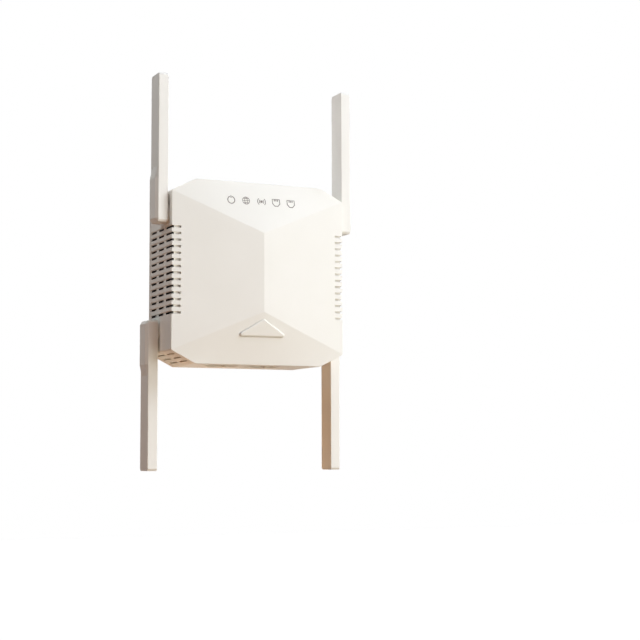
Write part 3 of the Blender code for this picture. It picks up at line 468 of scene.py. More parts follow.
@cache
def crown_facet_recipe() -> Recipe:
    """Tree for one quarter of a ruled facet: a grid of unit size stretched between four corners.

    Returns:
        The recipe.
    """
    corners = ("hip_low", "hip_high", "edge_low", "edge_high")
    recipe = Recipe("crown_facet", steps=SocketKind.COUNT, **dict.fromkeys(corners, SocketKind.VECTOR))
    start = recipe.start
    counts = dict.fromkeys(("Vertices X", "Vertices Y"), start["steps"])
    grid = recipe.node("GeometryNodeMeshGrid", counts).outputs["Mesh"]
    here = recipe.node("GeometryNodeInputPosition").outputs[0]
    parts = recipe.node("ShaderNodeSeparateXYZ", {0: here}).outputs
    along, across = (recipe.math("ADD", parts[key], HALF_GRID) for key in "XY")
    low = recipe.mix(Mix.VECTOR, across, start["hip_low"], start["edge_low"])
    high = recipe.mix(Mix.VECTOR, across, start["hip_high"], start["edge_high"])
    feeds = {"Geometry": grid, "Position": recipe.mix(Mix.VECTOR, along, low, high)}
    return recipe.close(recipe.node("GeometryNodeSetPosition", feeds).outputs["Geometry"])


@cache
def row_recipe() -> Recipe:
    """Tree for a straight row of equal parts.

    Returns:
        The recipe.
    """
    kinds = {"part": SocketKind.OBJECT, "count": SocketKind.COUNT}
    recipe = Recipe("row_of_parts", **kinds, first=SocketKind.VECTOR, step=SocketKind.VECTOR)
    start = recipe.start
    feeds = {"Count": start["count"], "Start Location": start["first"], "Offset": start["step"]}
    line = recipe.node("GeometryNodeMeshLine", feeds, mode="OFFSET").outputs["Mesh"]
    part = recipe.node("GeometryNodeObjectInfo", {"Object": start["part"]}).outputs["Geometry"]
    copies = recipe.node("GeometryNodeInstanceOnPoints", {"Points": line, "Instance": part})
    return recipe.close(copies.outputs["Instances"])


@cache
def stroke_recipe() -> Recipe:
    """Tree for printed strokes: a flat ribbon along each line of a curve that faces the front.

    Returns:
        The recipe.
    """
    sizes = {"width": SocketKind.NUMBER, "thickness": SocketKind.NUMBER}
    recipe = Recipe("printed_strokes", path=SocketKind.OBJECT, facing=SocketKind.VECTOR, **sizes)
    start = recipe.start
    path = recipe.node("GeometryNodeObjectInfo", {"Object": start["path"]}).outputs["Geometry"]
    feeds = {"Curve": path, "Normal": start["facing"]}
    lines = recipe.node("GeometryNodeSetCurveNormal", feeds, mode="FREE").outputs["Curve"]
    feeds = {"Width": start["thickness"], "Height": start["width"]}
    section = recipe.node("GeometryNodeCurvePrimitiveQuadrilateral", feeds).outputs["Curve"]
    feeds = {"Curve": lines, "Profile Curve": section, "Fill Caps": True}
    return recipe.close(recipe.node("GeometryNodeCurveToMesh", feeds).outputs["Mesh"])


def row_of(part: Piece, name: str, count: int, first: Vector, step: Vector) -> Piece:
    """A straight row of copies of a part, which is removed.

    Args:
        part: The part that repeats.
        name: Name of the row.
        count: How many there are.
        first: Where the first one goes.
        step: From one to the next.

    Returns:
        The row as one plain mesh.
    """
    finish = part.data.materials[0] if part.data.materials else None
    row = row_recipe().make(name, part=part, count=count, first=first, step=step, finish=finish)
    bpy.data.objects.remove(part)
    return row


class Pattern(Wiring):
    """A shader node group that reads a place on the piece and puts out numbers."""

    def __init__(self, name: str, *inputs: str) -> None:
        """Start a group.

        Args:
            name: Name of the group.
            inputs: Names of its number inputs.
        """
        super().__init__(bpy.data.node_groups.new(name, "ShaderNodeTree"))
        self.socket("place", SocketKind.VECTOR)
        for key in inputs:
            self.socket(key, SocketKind.NUMBER)
        self.start = self.node("NodeGroupInput").outputs

    def noise(self, place: Socket, scale: object, detail: float) -> Socket:
        """Add noise around one half, with so many features to the metre and so much finer detail."""
        feeds = {"Vector": place, "Scale": scale, "Detail": detail}
        return self.node("ShaderNodeTexNoise", feeds).outputs["Fac"]

    def close(self, **results: Socket) -> Tree:
        """End the group.

        Args:
            results: The group's outputs by name.

        Returns:
            The group's tree.
        """
        for key in results:
            self.socket(key, SocketKind.NUMBER, "OUTPUT")
        self.node("NodeGroupOutput", results)
        return self.tree


@cache
def grain_pattern() -> Tree:
    """Group for moulded surfaces: a fine spark-eroded grain and slow clouds of tone.

    Returns:
        The group's tree.
    """
    group = Pattern("moulded_grain", "grain_scale", "cloud_scale")
    start = group.start
    fine = group.noise(start["place"], start["grain_scale"], detail=2.0)
    slow = group.noise(start["place"], start["cloud_scale"], detail=3.0)
    grain = group.spread(fine, low=0.25, high=0.75)
    return group.close(grain=grain, cloud=group.spread(slow, low=0.3, high=0.7))


@cache
def drawn_pattern() -> Tree:
    """Group for metals: lines drawn along one direction, and dull patches.

    Returns:
        The group's tree.
    """
    group = Pattern("drawn_lines", "across", "along", "patch_scale")
    start = group.start
    parts = group.node("ShaderNodeSeparateXYZ", {0: start["place"]}).outputs
    scales = zip("XYZ", ("across", "along", "across"))
    drawn = {key: group.math("MULTIPLY", parts[key], start[scale]) for key, scale in scales}
    place = group.node("ShaderNodeCombineXYZ", drawn).outputs[0]
    fine = group.noise(place, 1.0, detail=3.0)
    slow = group.noise(start["place"], start["patch_scale"], detail=2.0)
    lines, patches = group.spread(fine, low=0.3, high=0.7), group.spread(slow, low=0.35, high=0.65)
    return group.close(lines=lines, patches=patches)


@cache
def trace_pattern() -> Tree:
    """Group for circuit boards: copper tracks under the mask, and the weave of the glass cloth.

    Returns:
        The group's tree.
    """
    group = Pattern("board_tracks", "track_scale", "weave_scale")
    start = group.start
    feeds = {"Vector": start["place"], "Scale": start["track_scale"]}
    cells = group.node("ShaderNodeTexVoronoi", feeds, distance="CHEBYCHEV", feature="F2").outputs["Distance"]
    bands = group.math("FRACT", group.math("MULTIPLY", cells, TRACKS_PER_CELL))
    cloth = group.noise(start["place"], start["weave_scale"], detail=1.0)
    return group.close(tracks=group.spread(bands, low=0.55, high=0.6), weave=cloth)


class Surface(Wiring):
    """The node tree of one material, with its Principled shader."""

    def __init__(self, name: str) -> None:
        """Start a material.

        Args:
            name: Name of the material.
        """
        self.material = bpy.data.materials.new(name)
        self.material.use_nodes = True
        super().__init__(self.material.node_tree)
        self.shader = self.tree.nodes["Principled BSDF"]

    def pattern(self, tree: Tree, **values: float) -> bpy.types.NodeOutputs:
        """Place a shared pattern on Object coordinates, with its inputs by name."""
        place = self.node("ShaderNodeTexCoord").outputs["Object"]
        return self.node("ShaderNodeGroup", {"place": place} | values, node_tree=tree).outputs

    def plain(self, **values: object) -> None:
        """Set inputs of the shader that are the same all over."""
        self.feed(self.shader, {key.replace("_", " ").title(): value for key, value in values.items()})

    def paint(self, mask: Socket, colour: Colour, other: Colour) -> None:
        """Mix the base colour of two colours by a mask."""
        mixed = self.mix(Mix.RGBA, mask, (*colour, 1.0), (*other, 1.0))
        self.feed(self.shader, {"Base Color": mixed})

    def gloss(self, mask: Socket, least: float, most: float, span: tuple[float, float] = UNIT) -> None:
        """Spread a mask's span over a range of roughness."""
        self.feed(self.shader, {"Roughness": self.spread(mask, *span, to=(least, most))})

    def bump(self, height: Socket, depth: float, strength: float) -> None:
        """Raise the surface by a pattern whose peaks have a depth in metres, to a share of it."""
        feeds = {"Strength": strength, "Distance": depth, "Height": height}
        self.feed(self.shader, {"Normal": self.node("ShaderNodeBump", feeds).outputs["Normal"]})


@dataclass(frozen=True)
class Finish:
    """A finish that makes its material once."""

    name: str
    colour: Colour
    roughness: float

    def material(self) -> Material:
        """The finish's material, made when it is first asked for."""
        return bpy.data.materials.get(self.name) or self.make()

    def make(self) -> Material:
        """Build the material."""
        raise NotImplementedError

    def dress(self, piece: Piece) -> None:
        """Give a piece this finish and no other."""
        piece.data.materials.clear()
        piece.data.materials.append(self.material())


@dataclass(frozen=True)
class MouldedFinish(Finish):
    """Moulded plastic with a fine grain and faint clouds of tone."""

    clouded: Colour
    grain_scale: float = 3400.0
    grain_depth: float = 0.02 * MM
    grain_strength: float = 0.25
    cloud_scale: float = 60.0
    gloss_swing: float = 0.06
    specular: float = 0.5

    def make(self) -> Material:
        """Build the material.

        Returns:
            The material.
        """
        surface = Surface(self.name)
        scales = {"grain_scale": self.grain_scale, "cloud_scale": self.cloud_scale}
        pattern = surface.pattern(grain_pattern(), **scales)
        surface.paint(pattern["cloud"], self.colour, self.clouded)
        surface.gloss(pattern["grain"], self.roughness - self.gloss_swing, self.roughness + self.gloss_swing)
        surface.bump(pattern["grain"], self.grain_depth, self.grain_strength)
        surface.feed(surface.shader, {"Specular IOR Level": self.specular})
        return surface.material


@dataclass(frozen=True)
class MetalFinish(Finish):
    """Bare or plated metal with drawn lines and dull patches."""

    dulled: Colour
    across: float = 4000.0
    along: float = 160.0
    patch_scale: float = 250.0
    line_depth: float = 0.004 * MM
    line_strength: float = 0.3
    gloss_swing: float = 0.15

    def make(self) -> Material:
        """Build the material.

        Returns:
            The material.
        """
        surface = Surface(self.name)
        scales = {"across": self.across, "along": self.along, "patch_scale": self.patch_scale}
        pattern = surface.pattern(drawn_pattern(), **scales)
        surface.paint(pattern["patches"], self.colour, self.dulled)
        surface.gloss(pattern["lines"], self.roughness, self.roughness + self.gloss_swing)
        surface.plain(metallic=1.0)
        surface.bump(pattern["lines"], self.line_depth, self.line_strength)
        return surface.material


@dataclass(frozen=True)
class BoardFinish(Finish):
    """Circuit board with tracks that show through the solder mask."""

    track: Colour
    track_scale: float = 160.0
    track_height: float = 0.03 * MM
    track_strength: float = 0.4
    weave_scale: float = 2200.0
    weave_span: tuple[float, float] = (0.3, 0.7)
    gloss_swing: float = 0.08

    def make(self) -> Material:
        """Build the material.

        Returns:
            The material.
        """
        surface = Surface(self.name)
        scales = {"track_scale": self.track_scale, "weave_scale": self.weave_scale}
        pattern = surface.pattern(trace_pattern(), **scales)
        surface.paint(pattern["tracks"], self.colour, self.track)
        least, most = self.roughness - self.gloss_swing, self.roughness + self.gloss_swing
        surface.gloss(pattern["weave"], least, most, self.weave_span)
        surface.bump(pattern["tracks"], self.track_height, self.track_strength)
        return surface.material


@dataclass(frozen=True)
class ClearFinish(Finish):
    """Clear moulding that carries light, with a faint grain."""

    clearness: float = 0.85
    grain_scale: float = 1500.0
    grain_depth: float = 0.01 * MM
    grain_strength: float = 0.2
    cloud_scale: float = 120.0
    gloss_swing: float = 0.12

    def make(self) -> Material:
        """Build the material.

        Returns:
            The material.
        """
        surface = Surface(self.name)
        scales = {"grain_scale": self.grain_scale, "cloud_scale": self.cloud_scale}
        pattern = surface.pattern(grain_pattern(), **scales)
        surface.plain(base_color=(*self.colour, 1.0), transmission_weight=self.clearness)
        surface.gloss(pattern["cloud"], self.roughness, self.roughness + self.gloss_swing)
        surface.bump(pattern["grain"], self.grain_depth, self.grain_strength)
        return surface.material


# painted shade: a near-black moulding on the through slots' walls stands in for the shadow deep in the slots
PAINTED_SLOT_SHADE = MouldedFinish("slot_shade", (0.030, 0.027, 0.025), 0.7, (0.045, 0.040, 0.037))
IVORY = MouldedFinish("ivory_moulding", (0.86, 0.835, 0.79), 0.55, (0.845, 0.82, 0.77), specular=0.2)
INK = MouldedFinish("status_ink", (0.21, 0.18, 0.16), 0.6, (0.25, 0.22, 0.20), 9000.0, 0.005 * MM)
JACK_BLACK = MouldedFinish("jack_moulding", (0.030, 0.030, 0.033), 0.38, (0.040, 0.040, 0.043), 5000.0)
SATIN_BLACK = MouldedFinish("component_moulding", (0.025, 0.025, 0.028), 0.5, (0.04, 0.04, 0.042), 2600.0)
SLEEVE = MouldedFinish("shrink_sleeve", (0.03, 0.03, 0.05), 0.35, (0.05, 0.05, 0.08), 1200.0)
SINTERED = MouldedFinish("sintered_core", (0.06, 0.06, 0.062), 0.65, (0.10, 0.10, 0.10), 1800.0, 0.05 * MM)
TAPE = MouldedFinish("winding_tape", (0.80, 0.56, 0.06), 0.42, (0.66, 0.40, 0.05), 900.0, 0.04 * MM)
LEAD_JACKET = MouldedFinish("lead_jacket", (0.22, 0.22, 0.23), 0.45, (0.28, 0.28, 0.29), 2500.0)
LED_RESIN = MouldedFinish("emitter_resin", (0.85, 0.85, 0.74), 0.25, (0.88, 0.80, 0.55), 1500.0)
BRASS = MetalFinish("plated_brass", (0.80, 0.66, 0.38), 0.24, (0.72, 0.57, 0.30))
GILT = MetalFinish("gilt_springs", (0.90, 0.70, 0.33), 0.2, (0.84, 0.62, 0.28), 6000.0)
STEEL = MetalFinish("zinc_steel", (0.60, 0.60, 0.62), 0.3, (0.50, 0.50, 0.51))
TIN = MetalFinish("tinned_sheet", (0.72, 0.71, 0.68), 0.26, (0.62, 0.61, 0.58), 2500.0, 300.0)
BOARD = BoardFinish("solder_mask", (0.012, 0.10, 0.045), 0.38, (0.03, 0.20, 0.085))
CLEAR = ClearFinish("light_guide_resin", (0.92, 0.93, 0.92), 0.12)


def hand_over(piece: Piece, finish: Finish | None, body: str, slot: str, *nodes: str) -> None:
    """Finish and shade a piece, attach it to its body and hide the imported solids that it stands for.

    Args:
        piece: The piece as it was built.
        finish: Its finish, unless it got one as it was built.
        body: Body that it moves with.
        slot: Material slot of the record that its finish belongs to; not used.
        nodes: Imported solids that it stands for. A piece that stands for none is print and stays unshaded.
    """
    if finish:
        finish.dress(piece)
    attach(piece, body)
    if nodes:
        shade(piece)
        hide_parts(*nodes)
    LOG.info("%s: %d faces, on %s", piece.name, len(piece.data.polygons), body)


@dataclass
class Housing:
    """Outer form that both covers share: an octagon with a ridged front of four facets."""

    half_width: float
    half_height: float
    rim_y: float
    cover_back_y: float
    corner_width: float = 9.8 * MM
    corner_height: float = 5.0 * MM
    ridge_rise: float = 5.1 * MM
    half_ridge: float = 15.25 * MM
    wall: float = 1.8 * MM
    seat_gap: float = 0.3 * MM
    facet_steps: int = 13
    crown_halvings: int = 40

    @classmethod
    def from_frame(cls) -> "Housing":
        """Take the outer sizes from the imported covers.

        Returns:
            The form.
        """
        plate_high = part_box("rear_cover")[1]
        low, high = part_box("front_cover")
        return cls(plate_high.x, plate_high.z, low.y + cls.ridge_rise, high.y)

    def corner_line(self) -> tuple[float, float, float]:
        """The slanted corner of the outline.

        Returns:
            How far its outward direction goes across and up, and its distance from the middle.
        """
        slant = math.hypot(self.corner_width, self.corner_height)
        across, up = self.corner_height / slant, self.corner_width / slant
        return across, up, across * self.half_width + up * (self.half_height - self.corner_height)

    def reach(self, inset: float) -> tuple[float, float, float, float]:
        """Where the outline runs when it is moved inwards.

        Args:
            inset: How far it is moved.

        Returns:
            Its side, its top, the end of its top edge and the end of its side edge.
        """
        side, top = self.half_width - inset, self.half_height - inset
        across, up, far = self.corner_line()
        reach = far - inset
        return side, top, (reach - up * top) / across, (reach - across * side) / up

    def outline(self, inset: float) -> Outline:
        """The eight corners, moved inwards, as X and Z.

        Args:
            inset: How far they are moved.

        Returns:
            The corners in order.
        """
        side, top, top_end, side_end = self.reach(inset)
        quarter = [(side, side_end), (top_end, top)]
        left = [(-x, z) for x, z in reversed(quarter)]
        return quarter + left + [(-x, -z) for x, z in quarter + left]

    def on_skin(self, point: Vector) -> bool:
        """Whether a point lies on the outer walls.

        Args:
            point: The point.

        Returns:
            True if it does.
        """
        x, z = abs(point.x), abs(point.z)
        across, up, far = self.corner_line()
        return max(x - self.half_width, z - self.half_height, across * x + up * z - far) > -NEAR

    def facet(self, inset: float, rim_y: float, side: Side, tier: Tier) -> dict[str, Vector]:
        """Corners of one quarter of the top or bottom facet.

        Args:
            inset: How far the outline is moved inwards.
            rim_y: Depth of the rim.
            side: Left or right quarter.
            tier: Top or bottom facet.

        Returns:
            The inputs of the facet's tree.
        """
        wide, top, top_end, side_end = self.reach(inset)
        x, z = side.value, tier.value
        return {
            "hip_low": Vector((x * wide, rim_y, z * side_end)),
            "hip_high": Vector((0.0, rim_y - self.ridge_rise, z * self.half_ridge)),
            "edge_low": Vector((x * top_end, rim_y, z * top)),
            "edge_high": Vector((0.0, rim_y, z * top)),
        }

    def block(self, name: str, inset: float, rim_y: float, back_y: float) -> Piece:
        """The form as one closed shell.

        Args:
            name: Name of the object.
            inset: How far the outline is moved inwards.
            rim_y: Depth of the rim.
            back_y: Depth of the flat back.

        Returns:
            The closed shell.
        """
        draft = Draft()
        steps = self.facet_steps - 1

        def ruled(start: Vector, end: Vector) -> list[Vector]:
            """Points from start to end as the facet's grid has them."""
            return [start.lerp(end, i / steps) for i in range(steps + 1)]

        def wall(edge: list[Vector]) -> None:
            """Add the wall behind a stretch of the rim."""
            behind = [Vector((point.x, back_y, point.z)) for point in (edge[-1], edge[0])]
            draft.face(edge + behind)

        corners = {}
        for side in Side:
            for tier in Tier:
                corner = self.facet(inset, rim_y, side, tier)
                corners[side, tier] = corner
                draft.take(crown_facet_recipe().make("facet", steps=self.facet_steps, **corner))
                wall(ruled(corner["hip_low"], corner["edge_low"]))
        for side in Side:
            upper, lower = corners[side, Tier.UPPER], corners[side, Tier.LOWER]
            hips = ruled(upper["hip_low"], upper["hip_high"])
            draft.face(hips + ruled(lower["hip_high"], lower["hip_low"]))
            wall([upper["hip_low"], lower["hip_low"]])
        for tier in Tier:
            left, right = corners[Side.LEFT, tier], corners[Side.RIGHT, tier]
            edge = ruled(left["edge_low"], left["edge_high"])
            wall(edge + ruled(right["edge_high"], right["edge_low"])[1:])
        draft.face([Vector((x, back_y, z)) for x, z in self.outline(inset)])
        return draft.finish(name)

    def crown(self, x: float, z: float) -> float:
        """Depth of the crowned front at a place.

        Args:
            x: Place across.
            z: Place up.

        Returns:
            The Y of the outer surface.
        """
        side, top, top_end, side_end = self.reach(0.0)
        x, z = abs(x), abs(z)
        if z <= self.half_ridge + (side_end - self.half_ridge) * x / side:
            return self.rim_y - self.ridge_rise * (1 - x / side)
        low, high = 0.0, 1.0
        for _ in range(self.crown_halvings):
            v = (low + high) / 2
            u = 1 - x / (side * (1 - v) + top_end * v)
            if (1 - v) * (side_end * (1 - u) + self.half_ridge * u) + v * top < z:
                low = v
            else:
                high = v
        return self.rim_y - self.ridge_rise * u * (1 - v)


@dataclass
class Vents:
    """Slots in the side walls, round the front edge and in the slanted corners."""

    housing: Housing
    height: float = 0.9 * MM
    pitch: float = 2.52 * MM
    length: float = 5.5 * MM
    bridge: float = 2.8 * MM
    front_reach: float = 7.0 * MM
    face_reach: float = 3.6 * MM
    face_depth: float = 0.15 * MM
    channel_depth: float = 0.35 * MM
    flank: float = 0.3 * MM
    heel: float = 0.5 * MM
    heel_drop: float = 0.75 * MM
    rib_inset: float = 0.95 * MM
    rib_depth: float = 1.0 * MM
    clear_of_antenna: float = 1.5 * MM
    corner_rows: int = 3
    corner_height: float = 0.85 * MM
    corner_pitch: float = 2.85 * MM
    corner_length: float = 7.8 * MM
    corner_start: float = 3.1 * MM

    def channels(self) -> Piece:
        """Cutter for the shallow channels along the rows, on the walls and round onto the front.

        Returns:
            The cutter.
        """
        form = self.housing
        low, high = -self.height / 2, self.height / 2
        open_x, floor_x = form.half_width + OVERCUT, form.half_width - self.channel_depth
        lip = [(form.half_width, high + self.flank), (floor_x, high), (floor_x, low)]
        wall = [(open_x, low), (open_x, high + self.flank), *lip]
        near, far = form.half_width - self.face_reach, form.half_width - self.channel_depth / 2
        open_y, floor_y = form.rim_y - form.ridge_rise, form.rim_y + self.face_depth
        heel = floor_y + self.heel_drop
        front = [(far, open_y), (far, floor_y), (near + self.heel, heel), (near, heel), (near, open_y)]
        start, end = form.rim_y - OVERCUT, self.slot_spans()[-1][1] + self.flank
        row = self.rows("wall_channel", IVORY, Draft().both_sides(wall, Axis.Y, start, end))
        faces = self.rows("face_channel", IVORY, Draft().both_sides(front, Axis.Z, low, high))
        combine(row, faces, Operation.JOIN)
        return row

    def slot_spans(self) -> list[tuple[float, float]]:
        """Where each through slot of a row lies.

        Returns:
            Start and end of each in Y.
        """
        first = self.housing.rim_y + self.face_depth
        second = self.housing.rim_y + self.front_reach + self.bridge
        third = second + self.length + self.bridge
        return [(first, second - self.bridge), (second, second + self.length), (third, third + self.length)]

    def slots(self) -> Piece:
        """Cutter for the through slots: the front one leaves a rib under the front's channel.

        Returns:
            The cutter.
        """
        form = self.housing
        outer, inner = form.half_width + OVERCUT, form.half_width - form.wall - form.seat_gap
        rib = form.half_width - self.rib_inset
        (floor, back), *spans = self.slot_spans()
        behind = floor + self.rib_depth
        front = floor - self.face_depth - OVERCUT
        bent = [(outer, front), (outer, back), (inner, back), (inner, behind), (rib, behind), (rib, front)]
        draft = Draft()
        for section in [bent, *(rectangle(inner, outer, *span) for span in spans)]:
            draft.both_sides(section, Axis.Z, -self.height / 2, self.height / 2)
        # the slot walls get painted shade from this finish
        return self.rows("slot", PAINTED_SLOT_SHADE, draft)

    def rows(self, name: str, finish: Finish, draft: Draft) -> Piece:
        """Cutter for all rows of both side walls.

        Args:
            name: Name of one row's cutter.
            finish: Finish of the faces that it leaves.
            draft: One row's cutter, in the middle of the housing's height.

        Returns:
            The cutter.
        """
        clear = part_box("antenna_upper_left")[0].z - self.clear_of_antenna - self.height / 2
        count = int(2 * clear / self.pitch) + 1
        lowest = Vector((0.0, 0.0, -(count - 1) / 2 * self.pitch))
        row = draft.finish(name)
        finish.dress(row)
        return row_of(row, f"{name}_rows", count, lowest, Vector((0.0, 0.0, self.pitch)))

    def corner_rows_at(self, side: Side, tier: Tier) -> Piece:
        """Cutter for the slots of one slanted corner.

        Args:
            side: Left or right corner.
            tier: Upper or lower corner.

        Returns:
            The cutter.
        """
        form = self.housing
        signs = Vector((side.value, tier.value))
        slant = Vector((-form.corner_width, form.corner_height)).normalized() * signs
        outward = Vector((form.corner_height, form.corner_width)).normalized() * signs
        middle = Vector((form.half_width - form.corner_width / 2, form.half_height - form.corner_height / 2))
        outer, inner = outward * OVERCUT, -outward * (form.wall + form.seat_gap)
        half = slant * (self.corner_height / 2)
        section = [tuple(p) for p in (outer - half, outer + half, inner + half, inner - half)]
        draft = Draft()
        first = form.rim_y + self.corner_start
        for start in (first, first + self.corner_length + self.bridge):
            draft.prism(section, Axis.Y, start, start + self.corner_length)
        place = middle * signs - slant * (self.corner_pitch * (self.corner_rows - 1) / 2)
        step = slant * self.corner_pitch
        lowest, onward = Axis.Y.point(0.0, *place), Axis.Y.point(0.0, *step)
        slot = draft.finish("corner_slot")
        IVORY.dress(slot)
        return row_of(slot, "corner_slots", self.corner_rows, lowest, onward)


@dataclass
class JackMouth:
    """Mouth of a network jack with its latch notch."""

    hand: str
    width: float = 11.8 * MM
    depth: float = 7.5 * MM
    floor: float = 1.5 * MM
    latch_width: float = 6.2 * MM
    latch_depth: float = 2.0 * MM

    def outline(self, clearance: float) -> Outline:
        """Outline of the mouth as X and Y.

        Args:
            clearance: How much wider than the jack's own mouth it is.

        Returns:
            The outline.
        """
        low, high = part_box(f"network_jack_{self.hand}")
        centre = (low.x + high.x) / 2
        half, notch = self.width / 2 + clearance, self.latch_width / 2 + clearance
        front = low.y + self.floor - clearance
        back = low.y + self.floor + self.depth + clearance
        right = [(half, front), (half, back), (notch, back), (notch, back + self.latch_depth)]
        return [(centre + x, y) for x, y in right] + [(centre - x, y) for x, y in reversed(right)]


@dataclass
class ButtonForm:
    """Rounded triangle of the pairing button."""

    housing: Housing
    from_bottom: float = 10.7 * MM
    height: float = 6.95 * MM
    width: float = 22.6 * MM
    corner: float = 0.8 * MM

    def base_z(self) -> float:
        """Height of the triangle's lower side."""
        return self.from_bottom - self.housing.half_height

    def middle_z(self) -> float:
        """Height of the triangle's middle, which is a third of the way up."""
        return self.base_z() + self.height / 3

    def outline(self, growth: float) -> Outline:
        """Outline of the triangle, grown evenly, as X and Z.

        Args:
            growth: How far each side moves outwards.

        Returns:
            The outline.
        """
        half, base = self.width / 2, self.base_z()
        lean = math.atan2(self.height, half)
        wide = half + growth / math.tan(lean / 2)
        high = base + self.height + growth / math.cos(lean)
        return rounded([(-wide, base - growth), (wide, base - growth), (0.0, high)], self.corner + growth)


def screw_places() -> Iterator[tuple[str, Vector]]:
    """Go through the case screws in the frame.

    Yields:
        Name and middle of each screw.
    """
    for place in ("top_left", "top_right", "bottom_left", "bottom_right"):
        name = f"case_screw_{place}"
        low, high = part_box(name)
        yield name, (low + high) / 2


@dataclass
class FrontCover:
    """Crowned front moulding with its vents, pivot collars, jack mouths and button window."""

    housing: Housing
    pivots: dict[str, Vector]
    edge: Rounding = Rounding(0.18 * MM, steps=3, fold=6.0)
    corner: Rounding = Rounding(0.6 * MM, steps=4)
    window_gap: float = 0.06 * MM
    face_wall: float = 1.8 * MM
    collar_radius: float = 4.2 * MM
    collar_reach: float = 0.47 * MM
    pivot_radius: float = 2.8 * MM
    boss_radius: float = 2.0 * MM
    boss_foot_radius: float = 2.9 * MM
    boss_back_y: float = -3.0 * MM
    boss_sink: float = 0.6
    boss_steps: int = 32
    pilot_radius: float = 1.0 * MM
    pilot_depth: float = 9.0 * MM
    pilot_steps: int = 24

    def build(self) -> Piece:
        """Make the moulding.

        Returns:
            The piece, not yet handed to the frame.
        """
        form = self.housing
        cover = form.block("front_moulding", 0.0, form.rim_y, form.cover_back_y)
        IVORY.dress(cover)
        self.mark_crease(cover)
        self.corner.soften(cover, self.runs_back)
        self.edge.soften(cover, self.at_front)
        hollow = form.block("hollow", form.wall, form.rim_y + self.face_wall, OVERCUT)
        combine(cover, hollow, Operation.CUT)
        reach = form.half_width + self.collar_reach
        combine(cover, self.on_pivots(self.collar_radius, form.half_width - FUSE, reach), Operation.JOIN)
        inner = form.half_width - form.wall - OVERCUT
        combine(cover, self.on_pivots(self.pivot_radius, inner, reach + OVERCUT), Operation.CUT)
        self.cut_vents(cover)
        self.cut_openings(cover)
        self.add_bosses(cover)
        return cover

    def mark_crease(self, cover: Piece) -> None:
        """Keep the fold down the middle of the top and bottom facets crisp.

        Args:
            cover: The moulding.
        """
        bm = bmesh.new()
        bm.from_mesh(cover.data)
        for edge in bm.edges:
            if self.in_middle(edge):
                edge.smooth = False
        bm.to_mesh(cover.data)
        bm.free()

    @staticmethod
    def runs_back(edge: Edge) -> bool:
        """Whether an edge is a corner between two walls, which runs from the rim to the back."""
        low, high = (vert.co for vert in edge.verts)
        return abs(high.y - low.y) > STRAIGHT * edge.calc_length()

    @staticmethod
    def in_middle(edge: Edge) -> bool:
        """Whether an edge lies in the middle plane between left and right."""
        return all(abs(vert.co.x) < MERGE for vert in edge.verts)

    def at_front(self, edge: Edge) -> bool:
        """Whether an edge at the front may be rounded: all but the middle crease, which fades out."""
        ridge = max(abs(vert.co.z) for vert in edge.verts) <= self.housing.half_ridge + MERGE
        return not self.runs_back(edge) and (ridge or not self.in_middle(edge))

    def on_pivots(self, radius: float, start: float, end: float) -> Piece:
        """Cylinders on all four pivot axes.

        Args:
            radius: Radius of each.
            start: Distance from the middle where each starts.
            end: Distance where each ends.

        Returns:
            The tool.
        """
        draft = Draft()
        for pivot in self.pivots.values():
            sign = math.copysign(1.0, pivot.x)
            draft.prism(circle(pivot.y, pivot.z, radius), Axis.X, sign * start, sign * end)
        return draft.finish("pivot_cylinders")

    def cut_vents(self, cover: Piece) -> None:
        """Cut every slot.

        Args:
            cover: The moulding.
        """
        vents = Vents(self.housing)
        combine(cover, vents.channels(), Operation.CUT)
        combine(cover, vents.slots(), Operation.CUT)
        for side in Side:
            for tier in Tier:
                combine(cover, vents.corner_rows_at(side, tier), Operation.CUT)

    def cut_openings(self, cover: Piece) -> None:
        """Cut the jack mouths and the button window.

        Args:
            cover: The moulding.
        """
        form = self.housing
        mouths = Draft()
        for hand in HANDS:
            face_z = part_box(f"network_jack_{hand}")[0].z
            outline = JackMouth(hand).outline(form.seat_gap)
            mouths.prism(outline, Axis.Z, -form.half_height - OVERCUT, face_z + FUSE)
        combine(cover, mouths.finish("mouth_cutters"), Operation.CUT)
        window = ButtonForm(form).outline(self.window_gap)
        back = form.rim_y + self.face_wall + OVERCUT
        front = form.rim_y - form.ridge_rise - OVERCUT
        combine(cover, Draft().prism(window, Axis.Y, front, back).finish("window"), Operation.CUT)

    def add_bosses(self, cover: Piece) -> None:
        """Add the four screw bosses, each with a foot under the main board and a pilot hole.

        Args:
            cover: The moulding.
        """
        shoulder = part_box("main_board")[0].y - self.housing.seat_gap
        bosses, pilots = Draft(), Draft()
        for _, place in screw_places():
            x, z = place.x, place.z
            start = self.housing.crown(x, z) + self.face_wall * self.boss_sink
            profile = [(self.boss_foot_radius, start), (self.boss_foot_radius, shoulder)]
            profile += [(self.boss_radius, shoulder), (self.boss_radius, self.boss_back_y)]
            bosses.turned(profile, x, z, self.boss_steps)
            ends = (self.boss_back_y - self.pilot_depth, self.boss_back_y + FUSE)
            pilots.turned([(self.pilot_radius, end) for end in ends], x, z, self.pilot_steps)
        combine(cover, bosses.finish("bosses"), Operation.JOIN)
        combine(cover, pilots.finish("pilots"), Operation.CUT)

    def dress(self, cover: Piece) -> None:
        """Hand the moulding over; it got its ivory and its painted slot shade as it was built."""
        hand_over(cover, None, "housing", "ivory_shell", "front_cover")


